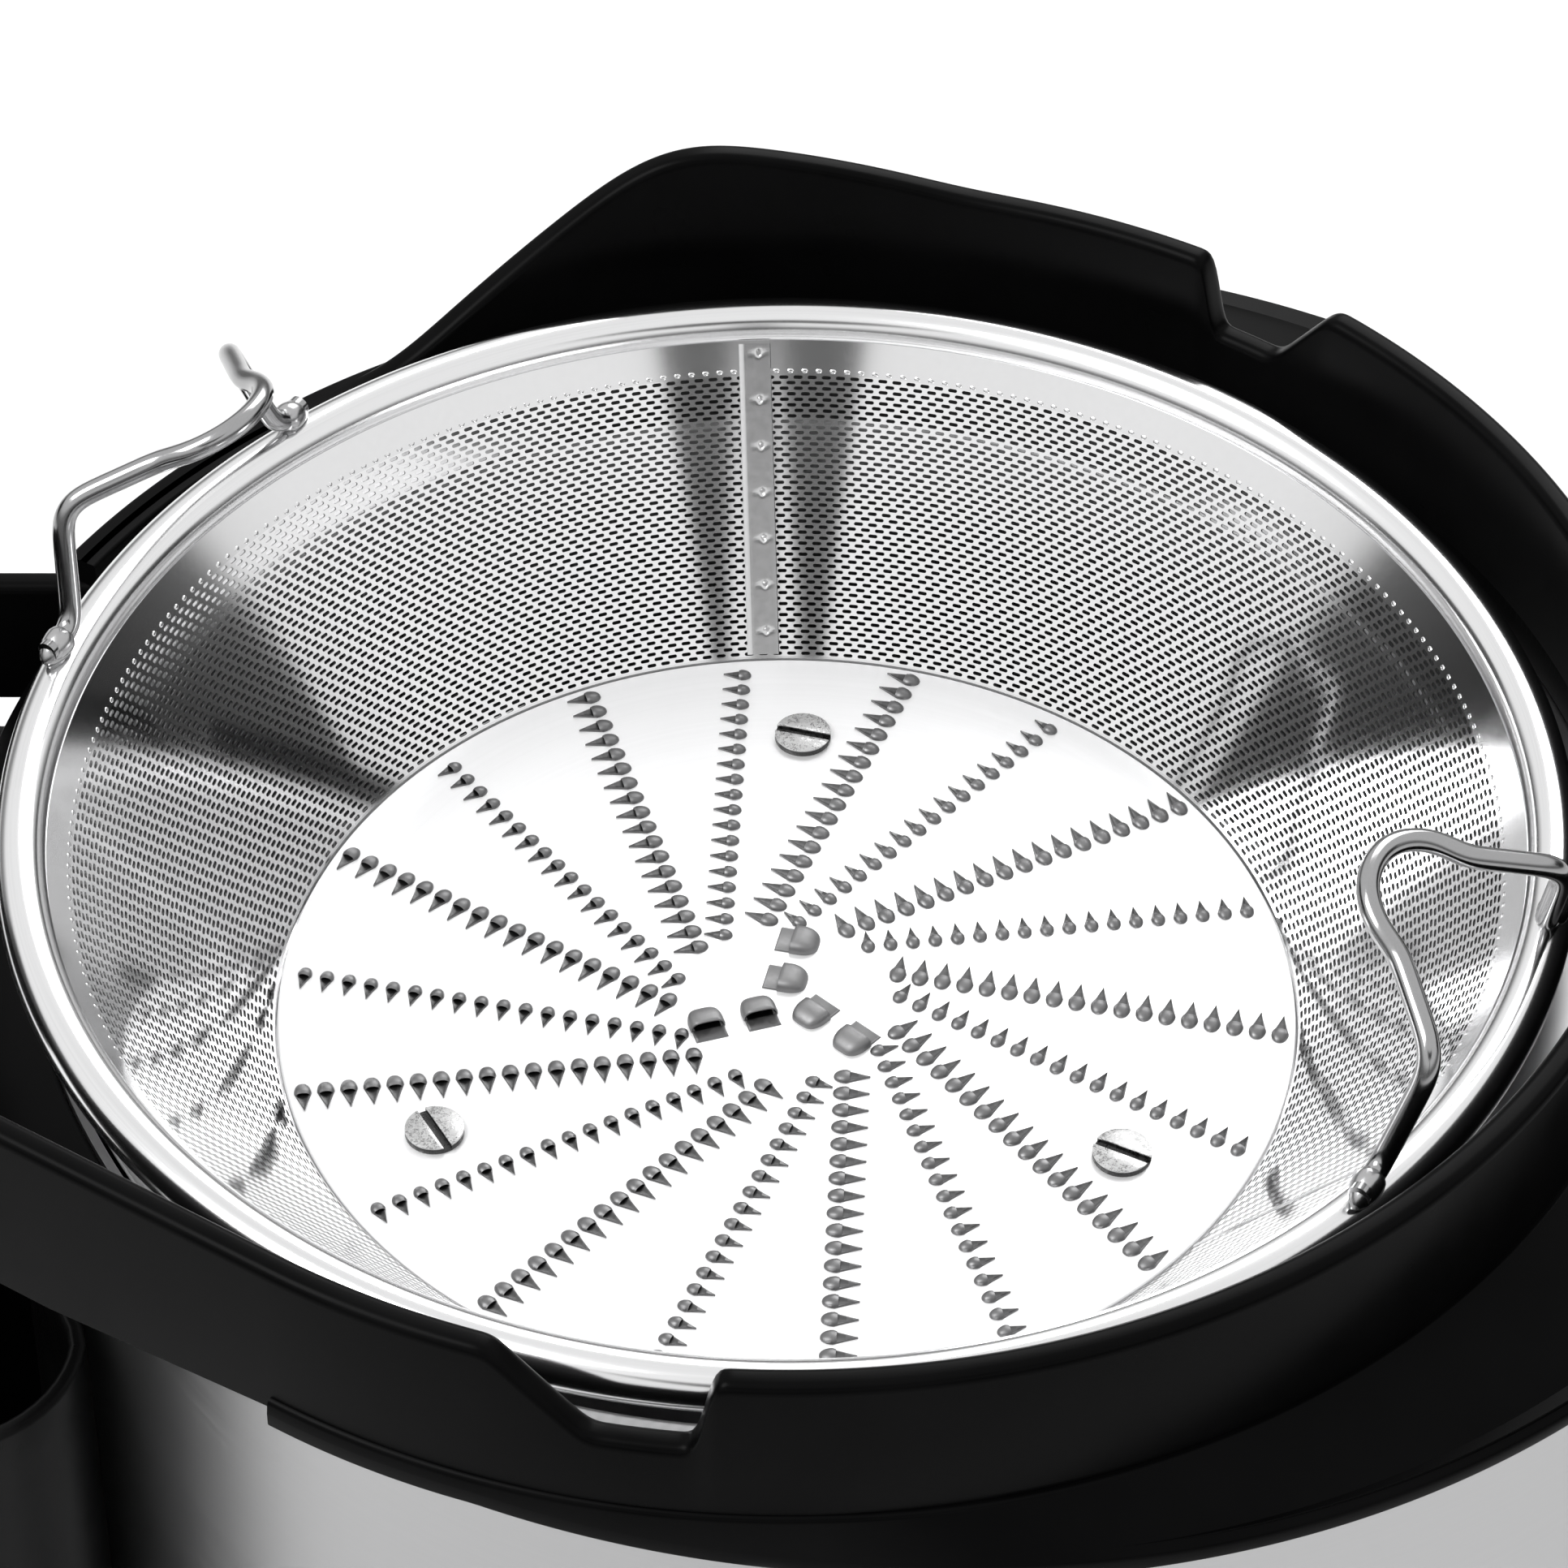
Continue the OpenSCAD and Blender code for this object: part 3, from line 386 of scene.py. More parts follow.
class Grain(Enum):
    """How a metal was worked, which sets the run of its fine marks."""

    TURNED = "rings about the spindle"
    BRUSHED = "lines round an upright wall"
    ROLLED = "sheet with faint smears"
    BLASTED = "coarse sandy grain"
    DRAWN = "wire pulled through a die"
    CAST = "die-cast skin"


# Stretch of the noise in radius, angle and height about the axis, for grains that run round it.
ROUND_GRAINS = {Grain.TURNED: (5200.0, 0.25, 60.0), Grain.BRUSHED: (60.0, 0.9, 9000.0)}
# Scale, detail and roughness of the fine noise, and scale of the wide one, for the others.
EVEN_GRAINS = {
    Grain.ROLLED: (900.0, 3.0, 0.55, 38.0),
    Grain.BLASTED: (4200.0, 2.0, 0.7, 1500.0),
    Grain.DRAWN: (5200.0, 2.0, 0.55, 160.0),
    Grain.CAST: (1700.0, 4.0, 0.65, 90.0),
}


class Graph:
    """The nodes of one shader while it is wired."""

    def __init__(self, tree: bpy.types.NodeTree) -> None:
        """Starts with a shader's node tree."""
        self.tree = tree

    def node(self, kind: str, **settings: object) -> bpy.types.Node:
        """Adds a node.

        Args:
            kind: Type of the node.
            **settings: Properties, or input values by name with spaces as underscores.

        Returns:
            The node.
        """
        made = self.tree.nodes.new(kind)
        for key, value in settings.items():
            if hasattr(made, key):
                setattr(made, key, value)
            else:
                made.inputs[key.replace("_", " ")].default_value = value
        return made

    def link(self, source: bpy.types.NodeSocket, target: bpy.types.NodeSocket) -> None:
        """Joins two sockets."""
        self.tree.links.new(source, target)

    def maths(self, kind: str, first: object, second: object = 0.0) -> bpy.types.NodeSocket:
        """Adds a sum of two values or sockets.

        Args:
            kind: Operation of the math node.
            first: First value or socket.
            second: Second value or socket.

        Returns:
            The result's socket.
        """
        made = self.node("ShaderNodeMath", operation=kind)
        for socket, value in zip(made.inputs, (first, second)):
            if isinstance(value, bpy.types.NodeSocket):
                self.link(value, socket)
            else:
                socket.default_value = value
        return made.outputs[0]

    def parts(self, source: bpy.types.NodeSocket) -> tuple[bpy.types.NodeSocket, ...]:
        """The three parts of a vector."""
        made = self.node("ShaderNodeSeparateXYZ")
        self.link(source, made.inputs[0])
        return tuple(made.outputs)

    def ramp(
        self,
        source: bpy.types.NodeSocket,
        ends: tuple[float, float],
        levels: tuple[float, float],
        smooth: bool = False,
    ) -> bpy.types.NodeSocket:
        """Maps a value to a range.

        Args:
            source: The value.
            ends: Values at which the range starts and ends.
            levels: Results there.
            smooth: Whether the way between them eases in and out.

        Returns:
            The mapped value's socket.
        """
        made = self.node("ShaderNodeMapRange")
        if smooth:
            made.interpolation_type = "SMOOTHSTEP"
        self.link(source, made.inputs["Value"])
        for key, value in zip(("From Min", "From Max", "To Min", "To Max"), (*ends, *levels)):
            made.inputs[key].default_value = value
        return made.outputs["Result"]


class Wiring(Graph):
    """One node material while it is wired."""

    def __init__(self, name: str) -> None:
        """Starts a material with a principled shader.

        Args:
            name: Name of the material.
        """
        self.material = bpy.data.materials.new(name)
        self.material.use_nodes = True
        super().__init__(self.material.node_tree)
        self.surface = self.tree.nodes["Principled BSDF"]
        self.place = self.node("ShaderNodeTexCoord").outputs["Object"]

    def scaled(self, source: bpy.types.NodeSocket, scale: Sequence[float]) -> bpy.types.NodeSocket:
        """Stretches coordinates.

        Args:
            source: Coordinates.
            scale: Factor along each axis.

        Returns:
            The stretched coordinates.
        """
        made = self.node("ShaderNodeVectorMath", operation="MULTIPLY")
        self.link(source, made.inputs[0])
        made.inputs[1].default_value = scale
        return made.outputs[0]

    def round_axis(self, centre: Sequence[float]) -> bpy.types.NodeSocket:
        """Coordinates of radius, angle and height about an upright axis.

        Args:
            centre: Place of the axis in millimetres from the spindle.

        Returns:
            A vector socket with the radius and height in metres and the angle in radians.
        """
        shifted = self.node("ShaderNodeVectorMath", operation="SUBTRACT")
        self.link(self.place, shifted.inputs[0])
        shifted.inputs[1].default_value = (*(SPINDLE[:2] + centre) / 1000, 0)
        x, y, z = self.parts(shifted.outputs[0])
        squares = [self.maths("POWER", value, 2.0) for value in (x, y)]
        radius = self.maths("SQRT", self.maths("ADD", *squares))
        angle = self.maths("ARCTAN2", y, x)
        made = self.node("ShaderNodeCombineXYZ")
        for value, socket in zip((radius, angle, z), made.inputs):
            self.link(value, socket)
        return made.outputs[0]

    def noise(
        self, coordinates: bpy.types.NodeSocket, scale: float, detail: float = 3.0, rough: float = 0.55
    ) -> bpy.types.NodeSocket:
        """Adds a noise texture.

        Args:
            coordinates: Where it is read.
            scale: Its scale.
            detail: Its detail.
            rough: Its roughness.

        Returns:
            The value's socket.
        """
        made = self.node("ShaderNodeTexNoise", Scale=scale, Detail=detail, Roughness=rough)
        self.link(coordinates, made.inputs["Vector"])
        return made.outputs["Fac"]

    def tint(
        self, source: bpy.types.NodeSocket, stops: Sequence[tuple[float, Sequence[float]]]
    ) -> bpy.types.NodeSocket:
        """Colours a value.

        Args:
            source: Value from 0 to 1.
            stops: Places and their colours.

        Returns:
            The colour's socket.
        """
        ramp = self.node("ShaderNodeValToRGB")
        while len(ramp.color_ramp.elements) < len(stops):
            ramp.color_ramp.elements.new(0.5)
        for element, (at, colour) in zip(ramp.color_ramp.elements, stops):
            element.position, element.color = at, (*colour, 1.0)
        self.link(source, ramp.inputs["Fac"])
        return ramp.outputs["Color"]

    def relief(self, height: bpy.types.NodeSocket, depth: float, strength: float = 1.0) -> None:
        """Raises the surface's shading by a value.

        Args:
            height: The value.
            depth: Height in millimetres at a value of 1.
            strength: Share that shows.
        """
        bump = self.node("ShaderNodeBump", Strength=strength, Distance=depth / 1000)
        self.link(height, bump.inputs["Height"])
        self.link(bump.outputs["Normal"], self.surface.inputs["Normal"])

    def paint(self, colour: bpy.types.NodeSocket) -> None:
        """Sets the surface's colour."""
        self.link(colour, self.surface.inputs["Base Color"])

    def gloss(self, source: bpy.types.NodeSocket, middle: float, uneven: float) -> None:
        """Varies the surface's roughness with a noise value.

        Args:
            source: Value from about 0.25 to 0.75.
            middle: Roughness half way.
            uneven: Share by which it goes down and up.
        """
        low, high = middle * (1 - uneven), middle * (1 + uneven)
        self.link(self.ramp(source, (0.25, 0.75), (low, high)), self.surface.inputs["Roughness"])

    def set(self, **values: float) -> None:
        """Sets plain values on the shader's own sockets, with spaces written as underscores."""
        for key, value in values.items():
            self.surface.inputs[key.replace("_", " ")].default_value = value


@dataclass(frozen=True)
class Metal:
    """A bare metal finish."""

    name: str
    slot: str
    colour: tuple[float, float, float]
    roughness: float
    grain: Grain
    depth: float = 0.004
    uneven: float = 0.25
    stretch: float = 0.0
    centre: tuple[float, float] = (0.0, 0.0)
    # Painted shade: height in millimetres above the disc, and the share of the colour left below it.
    painted_shade_below: tuple[float, float] | None = None
    metallic: float = 1.0

    def made(self) -> bpy.types.Material:
        """Wires the finish.

        Returns:
            The material.
        """
        w = Wiring(self.name)
        w.set(Metallic=self.metallic, Anisotropic=self.stretch, Specular_IOR_Level=0.5)
        if self.grain in ROUND_GRAINS:
            around, scale = w.round_axis(self.centre), ROUND_GRAINS[self.grain]
            fine = w.noise(w.scaled(around, scale), 1.0, 4.0, 0.6)
            wide = w.noise(w.scaled(around, [s * 0.11 for s in scale]), 1.0, 2.0)
        else:
            scale, detail, rough, wide_scale = EVEN_GRAINS[self.grain]
            along = w.scaled(w.place, (1.0, 1.0, 0.16)) if self.grain is Grain.DRAWN else w.place
            fine = w.noise(along, scale, detail, rough)
            wide = w.noise(w.place, wide_scale, 2.0)
        both = w.maths("ADD", w.maths("MULTIPLY", fine, 0.6), w.maths("MULTIPLY", wide, 0.4))
        dark = [c * (1 - 0.35 * self.uneven) for c in self.colour]
        colour = w.tint(both, ((0.3, dark), (0.62, self.colour)))
        # Painted shade below a set height darkens the colour there.
        if self.painted_shade_below:
            colour = self.paint_shade_below(w, colour)
        w.paint(colour)
        w.gloss(both, self.roughness, self.uneven)
        w.relief(fine, self.depth)
        return w.material

    def paint_shade_below(self, w: Wiring, colour: bpy.types.NodeSocket) -> bpy.types.NodeSocket:
        """Paints shade on what lies below a height, as a dark slot and dark sides on a screw head.

        Args:
            w: The material's wiring.
            colour: The plain colour.

        Returns:
            The colour with its painted shade.
        """
        lift = w.maths("SUBTRACT", w.parts(w.place)[2], SPINDLE[2] / 1000)
        height = w.maths("MULTIPLY", lift, 1000.0)
        edge, share = self.painted_shade_below
        step = w.ramp(height, (edge - 0.03, edge + 0.03), (share, 1.0))
        painted_shade_colour = w.node("ShaderNodeVectorMath", operation="SCALE")
        w.link(colour, painted_shade_colour.inputs[0])
        w.link(step, painted_shade_colour.inputs["Scale"])
        return painted_shade_colour.outputs[0]


@dataclass(frozen=True)
class Moulding:
    """A moulded plastic or rubber finish."""

    name: str
    slot: str
    colour: tuple[float, float, float]
    roughness: float
    grain: float = 1400.0
    depth: float = 0.01
    gloss: float = 0.5
    uneven: float = 0.2
    wear: float = 0.0

    def made(self) -> bpy.types.Material:
        """Wires the finish.

        Returns:
            The material.
        """
        w = Wiring(self.name)
        w.set(Specular_IOR_Level=self.gloss)
        fine = w.noise(w.place, self.grain, 2.0)
        wide = w.noise(w.place, 55.0, 3.0)
        light = [c * (1 + self.uneven) + self.wear for c in self.colour]
        dark = [c * (1 - self.uneven) for c in self.colour]
        w.paint(w.tint(wide, ((0.35, dark), (0.65, light))))
        w.gloss(wide, self.roughness, self.uneven)
        w.relief(fine, self.depth)
        return w.material


@dataclass(frozen=True)
class WoundCopper:
    """Enamelled copper wire laid in turns round the spindle."""

    name: str = "enamelled copper"
    slot: str = "copper_wire"
    colour: tuple[float, float, float] = (0.62, 0.25, 0.09)

    def made(self) -> bpy.types.Material:
        """Wires the finish.

        Returns:
            The material.
        """
        w = Wiring(self.name)
        w.set(Metallic=0.85, Roughness=0.3)
        around = w.round_axis((0.0, 0.0))
        turns = w.noise(w.scaled(around, (2600.0, 1.5, 2600.0)), 1.0, 1.0)
        dark = [c * 0.45 for c in self.colour]
        w.paint(w.tint(turns, ((0.35, dark), (0.6, self.colour))))
        w.relief(turns, 0.35)
        return w.material


@dataclass(frozen=True)
class Laminations:
    """Stacked and varnished steel sheets."""

    name: str = "laminations"
    slot: str = "lamination_steel"
    sheet: float = 0.5

    def made(self) -> bpy.types.Material:
        """Wires the finish.

        Returns:
            The material.
        """
        w = Wiring(self.name)
        w.set(Metallic=0.9)
        scale = 1000 / self.sheet / WAVE_RATE
        bands = w.node("ShaderNodeTexWave", bands_direction="Z", Scale=scale, Distortion=0.4)
        w.link(w.place, bands.inputs["Vector"])
        rust = w.noise(w.place, 120.0, 3.0)
        w.paint(w.tint(rust, ((0.3, (0.16, 0.15, 0.15)), (0.7, (0.34, 0.32, 0.31)))))
        rough = w.ramp(rust, (0.25, 0.75), (0.38, 0.55))
        w.link(rough, w.surface.inputs["Roughness"])
        w.relief(bands.outputs["Fac"], 0.08)
        return w.material


class Finish(Enum):
    """Every finish of the machine."""

    DISC = Metal(
        "turned disc", "polished_disc", (0.96, 0.96, 0.965), 0.42, Grain.TURNED, 0.0006, 0.1, metallic=0.5
    )
    TOOTH = Metal("punched tooth", "tooth_steel", (0.2, 0.2, 0.202), 0.42, Grain.CAST, 0.006, 0.4)
    # Painted shade: darker copies of the tooth's steel for its trough and for the hollows of teeth and
    # scoops.
    TROUGH = Metal("painted shade in a tooth's trough", "tooth_steel", (0.13, 0.13, 0.131), 0.42, Grain.CAST, 0.006, 0.4)
    HOLLOW = Metal("painted shade inside a scoop", "tooth_steel", (0.1, 0.1, 0.101), 0.4, Grain.CAST, 0.004, 0.3)
    SCOOP = Metal("pressed scoop", "machined_steel", (0.26, 0.26, 0.262), 0.52, Grain.CAST, 0.004, 0.3)
    SEAM = Metal("seam strip", "basket_steel", (0.78, 0.78, 0.785), 0.18, Grain.ROLLED, 0.002, 0.25)
    SOCKET = Metal("handle socket", "wire_steel", (0.5, 0.5, 0.504), 0.24, Grain.CAST, 0.002, 0.2)
    CHROME = Metal("polished tube", "basket_steel", (0.82, 0.83, 0.84), 0.12, Grain.CAST, 0.001, 0.2)
    SCREW = Metal(
        "blasted screw",
        "screw_steel",
        (0.6, 0.6, 0.6),
        0.4,
        Grain.BLASTED,
        depth=0.02,
        uneven=1.5,
        # Painted shade: below 0.84 mm the colour drops to 0.14 of itself, darkening the slot and sides of
        # each head.
        painted_shade_below=(0.84, 0.14),
    )
    FASTENER = Metal("plated fastener", "screw_steel", (0.64, 0.64, 0.65), 0.3, Grain.CAST, 0.003, 0.2)
    SHEET = Metal("rolled sheet", "basket_steel", (0.86, 0.86, 0.865), 0.1, Grain.ROLLED, 0.0002, 0.08)
    SIEVE = Metal("pierced sheet", "sieve_steel", (0.95, 0.95, 0.955), 0.08, Grain.ROLLED, 0.0006, 0.1)
    OUTSIDE = Metal(
        "outer side of the sieve", "sieve_steel", (0.5, 0.5, 0.505), 0.36, Grain.ROLLED, 0.002, 0.25
    )
    BOWL = Metal("spun bowl", "basket_steel", (0.5, 0.5, 0.505), 0.34, Grain.BRUSHED, 0.002, 0.25)
    RIM = Metal("rolled rim", "rim_steel", (0.9, 0.9, 0.905), 0.17, Grain.BRUSHED, 0.0015, 0.25)
    WIRE = Metal("satin wire", "wire_steel", (0.42, 0.42, 0.424), 0.16, Grain.DRAWN, 0.001, 0.15)
    TURNED = Metal("turned steel", "machined_steel", (0.6, 0.6, 0.62), 0.22, Grain.BRUSHED, 0.003, 0.3, 0.4)
    BEARING = Metal("ground steel", "bearing_steel", (0.78, 0.79, 0.8), 0.08, Grain.CAST, 0.0006, 0.2)
    CASTING = Metal("die casting", "cast_aluminium", (0.66, 0.67, 0.68), 0.42, Grain.CAST, 0.02, 0.25)
    HOUSING = Metal(
        "brushed housing",
        "brushed_housing",
        (0.52, 0.52, 0.524),
        0.34,
        Grain.BRUSHED,
        depth=0.0005,
        uneven=0.12,
        centre=HOUSING_AXIS,
    )
    LAMINATED = Laminations()
    COPPER = WoundCopper()
    COLLAR = Moulding(
        "satin black", "satin_black_plastic", (0.002, 0.002, 0.0021), 0.32, 1400.0, 0.002, 0.045
    )
    BIN = Moulding("bin black", "bin_black_plastic", (0.004, 0.004, 0.0041), 0.3, 1500.0, 0.004, 0.12)
    BASE = Moulding("base black", "base_black_plastic", (0.014, 0.014, 0.0145), 0.5, 1100.0, 0.02, 0.4)
    RUBBER = Moulding("black rubber", "black_rubber", (0.018, 0.018, 0.018), 0.72, 1900.0, 0.02, 0.3)
    GREY = Moulding("grey moulding", "grey_plastic", (0.16, 0.16, 0.165), 0.45, 1300.0, 0.01, 0.4)
    WHITE = Moulding("white moulding", "white_plastic", (0.78, 0.78, 0.76), 0.32, 1300.0, 0.005, 0.4, 0.04)
    IVORY = Moulding("ivory moulding", "ivory_plastic", (0.72, 0.68, 0.57), 0.45, 1300.0, 0.01, 0.4, 0.05)
    GREEN = Moulding("green button", "green_plastic", (0.02, 0.24, 0.075), 0.28, 900.0, 0.004, 0.5, 0.08)
    RED = Moulding("red button", "red_plastic", (0.46, 0.02, 0.02), 0.28, 900.0, 0.004, 0.5, 0.08)

    @property
    def material(self) -> bpy.types.Material:
        """The finish's material, made once."""
        return bpy.data.materials.get(self.value.name) or self.value.made()


def show(
    shape: Facets,
    name: str,
    body: str,
    finishes: Sequence[Finish],
    replaces: Sequence[str] = (),
    sharp: float = 35.0,
    weld: bool = True,
) -> bpy.types.Object:
    """Makes a piece of the machine.

    Args:
        shape: Its mesh.
        name: Its name.
        body: The moving body that it rides on.
        finishes: Its finishes, by material index.
        replaces: Solids of the model that it stands for.
        sharp: Angle in degrees over which an edge stays sharp.
        weld: Whether points that meet become one.

    Returns:
        The piece.
    """
    mesh = shape.mesh(name, sharp, weld)
    for finish in finishes:
        mesh.materials.append(finish.material)
    piece = bpy.data.objects.new(name, mesh)
    bpy.context.scene.collection.objects.link(piece)
    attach(piece, body)
    if replaces:
        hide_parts(*replaces)
    LOG.info("%s: %d faces on %s", name, len(mesh.polygons), body)
    return piece


def dress(name: str, finish: Finish, edge: float = 0.0) -> None:
    """Gives a solid of the model its finish.

    Args:
        name: Name of the solid.
        finish: Its finish.
        edge: Rounding of its edges in millimetres.
    """
    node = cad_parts[name]
    node.data.materials.clear()
    node.data.materials.append(finish.material)
    node.data.polygons.foreach_set("use_smooth", np.ones(len(node.data.polygons), bool))
    weld = node.modifiers.new("joined points", "WELD")
    weld.merge_threshold = 2e-6
    if edge:
        bevel = node.modifiers.new("rounded edges", "BEVEL")
        bevel.width, bevel.segments, bevel.limit_method = edge / 1000, 2, "ANGLE"
        bevel.angle_limit = math.radians(40)
        bevel.harden_normals = True
    LOG.info("%s: solid of the model, %s", node.name, finish.value.name)


# ------------------------------------------------------------------ the spinning basket


def spun(azimuth: float, at: Sequence[float] = (0.0, 0.0, 0.0)) -> Matrix:
    """Movement that places a shape at an azimuth about the spindle.

    Args:
        azimuth: Direction in degrees.
        at: Place before it is turned.

    Returns:
        The matrix.
    """
    return Matrix.Rotation(math.radians(azimuth), 4, "Z") @ Matrix.Translation(at)


@dataclass
class GraterDisc:
    """Toothed disc with its coring cutters and screws."""

    radius: float = 69.7
    thickness: float = 1.8
    edge: float = 0.35
    rows: int = 18
    per_row: int = 18
    pitch: float = 3.13
    first: tuple[float, float] = (12.6, 13.8)
    line: float = 12.0
    row_turn: float = 67.5
    sizes: tuple[tuple[float, float], ...] = ((4.0, 2.0), (5.0, 2.4))
    height: float = 0.75
    widest: float = 0.65
    mouth: float = 0.56
    lip: float = 0.1
    scoop_rings: tuple[float, ...] = (4.2, 11.7)
    scoop_turns: tuple[float, ...] = (77.0, 197.0, 317.0)
    # The second and third finishes are painted shade in each tooth's hollow and trough.
    tooth_finishes: tuple[Finish, ...] = (Finish.TOOTH, Finish.HOLLOW, Finish.TROUGH)

    def build(self) -> None:
        """Makes and dresses the disc and all that stands on it."""
        show(self.plate(), "toothed_disc", "basket", [Finish.DISC], ["grater_disc"])
        teeth = Facets()
        kinds = [self.tooth(length, width) for length, width in self.sizes]
        for row in range(self.rows):
            turn = self.row_turn + 360 / self.rows * (row + 1)
            for i in range(self.per_row):
                at = (self.first[row % 2] + i * self.pitch, self.line, 0.0)
                teeth.place(kinds[row % 2], spun(turn, at))
        show(teeth, "disc_teeth", "basket", list(self.tooth_finishes), ["grater_teeth"], 50, False)
        scoops = Facets()
        for turn in self.scoop_turns:
            for reach in self.scoop_rings:
                scoops.place(self.scoop(), spun(turn, (reach, 0.0, 0.0)))
        show(scoops, "coring_scoops", "basket", [Finish.SCOOP, Finish.HOLLOW], ["coring_cutters"], 50)
        dress("disc_screws", Finish.SCREW, 0.22)
        dress("disc_nuts", Finish.FASTENER, 0.2)

    def plate(self) -> Facets:
        """The disc with its softened edges.

        Returns:
            The mesh.
        """
        corners = [
            (0.0, -self.thickness, 0),
            (self.radius, -self.thickness, self.edge),
            (self.radius, 0.0, self.edge),
            (0.0, 0.0, 0),
        ]
        shape = Facets()
        shape.lathe(rounded(corners, 3, closed=False), 288, closed=False)
        return shape

    def hood(
        self,
        half: float,
        height: float,
        ends: tuple[float, float, float],
        nose: tuple[float, float],
        square: float,
        fine: tuple[int, int],
        lip: float,
    ) -> Facets:
        """A dome pressed up out of sheet, open at its front, with its hollow inside.

        Args:
            half: Half its greatest width.
            height: Its greatest height.
            ends: Places along Y of its closed end, its widest part and its mouth.
            nose: Shares of the width and height that are left at the mouth.
            square: Exponent of its section, 1 for an ellipse and less for a squarer one.
            fine: Sections along it and points across it.
            lip: Thickness of the sheet at the mouth.

        Returns:
            The mesh, with the hollow as material 1, where painted shade goes.
        """
        shape = Facets()
        back, wide, mouth = ends
        across = np.linspace(0, math.pi, fine[1])
        cos, sin = np.cos(across), np.sin(across)
        arch = np.stack([np.sign(cos) * np.abs(cos) ** square, np.zeros(fine[1]), np.abs(sin) ** square], 1)

        def section(width: float, rise: float, y: float) -> np.ndarray:
            """One arch across the dome."""
            return arch * (width, 0, rise) + (0, y, 0)

        turns = [math.pi / 2 * k / fine[0] for k in range(fine[0] + 1)]
        outer = [
            section(half * math.sin(t) ** square, height * math.sin(t), wide - (wide - back) * math.cos(t))
            for t in turns
        ]
        across_half, across_rise = half * nose[0], height * nose[1]
        between = 0.35 * height + 0.65 * across_rise
        outer.append(section((half + across_half) / 2, between, (wide + mouth) / 2))
        outer.append(section(across_half, across_rise, mouth))
        shape.grid(np.array(outer))
        rim = [
            section(across_half - lip * cut, across_rise - lip * cut, mouth + lip * out)
            for cut, out in ((0, 0), (0.3, 0.25), (0.8, 0.2), (1, 0))
        ]
        shape.grid(np.array(rim))
        depth = mouth - back
        inner = [
            section((across_half - lip) * width, (across_rise - lip) * rise, mouth - share * depth)
            for width, rise, share in ((1, 1, 0), (0.95, 0.9, 0.35), (0.65, 0.5, 0.72), (0.02, 0.02, 0.85))
        ]
        # The hollow takes material 1, which is painted shade.
        shape.grid(np.array(inner), slot=1)
        return shape

    def tooth(self, length: float, width: float) -> Facets:
        """One punched tooth with its point at the origin and its trough running out along +Y.

        Args:
            length: Length along Y.
            width: Width of its head.

        Returns:
            The mesh.
        """
        half, wide, mouth = width / 2, -self.widest * length, -self.mouth * length
        left = mouth / wide
        shape = self.hood(
            half,
            self.height,
            ends=(-length, wide, mouth),
            nose=(left, 0.9),
            square=0.9,
            fine=(6, 11),
            lip=self.lip,
        )
        rows = []
        for share in (-0.3, 0.0, 0.15, 0.42, 0.62, 0.85, 1.0):
            ahead = max(share, 0)
            taper = left * max(1 - ahead, 0.02)
            outer, crest = half * taper, half * taper * 0.84
            y, rise, deep = mouth * (1 - share), 0.2 + 0.1 * ahead, 0.03 + 0.2 * ahead**2
            side = [(outer, y, 0.0), (crest, y, rise), (crest * 0.84, y, rise * 0.9)]
            rows.append([*side, (0, y, deep), *[(-p[0], p[1], p[2]) for p in side[::-1]]])
        net = np.array(rows)
        # The trough takes material 1 near the mouth and material 2 beyond it, both painted shade darker
        # than the tooth.
        shape.grid(net[:4, 2:5], slot=1)
        shape.grid(net[3:, 2:5], slot=2)
        shape.grid(net[:, :3])
        shape.grid(net[:, 4:])
        return shape

    def scoop(self) -> Facets:
        """One coring cutter with the squared ramp before its mouth.

        Returns:
            The mesh.
        """
        shape = self.hood(
            half=2.45,
            height=1.6,
            ends=(-1.95, 0.7, 1.75),
            nose=(1.0, 0.97),
            square=0.6,
            fine=(10, 21),
            lip=0.26,
        )
        rows = []
        for y, rise, crest in (
            (-0.7, 0.02, 0.22),
            (1.75, 0.04, 0.22),
            (3.4, 0.1, 0.22),
            (3.75, 0.24, 0.24),
            (3.95, 0.0, 0.0),
        ):
            side = [(2.3, y, 0.0), (2.2, y, crest), (2.0, y, crest), (1.85, y, rise)]
            rows.append([*side, *[(-x, y, z) for x, y, z in side[::-1]]])
        net = np.array(rows)
        # The ramp's floor next to the mouth takes material 1, which is painted shade.
        shape.grid(net[:2, 3:5], slot=1)
        shape.grid(net[1:, 3:5])
        shape.grid(net[1:, :4])
        shape.grid(net[1:, 4:])
        return shape


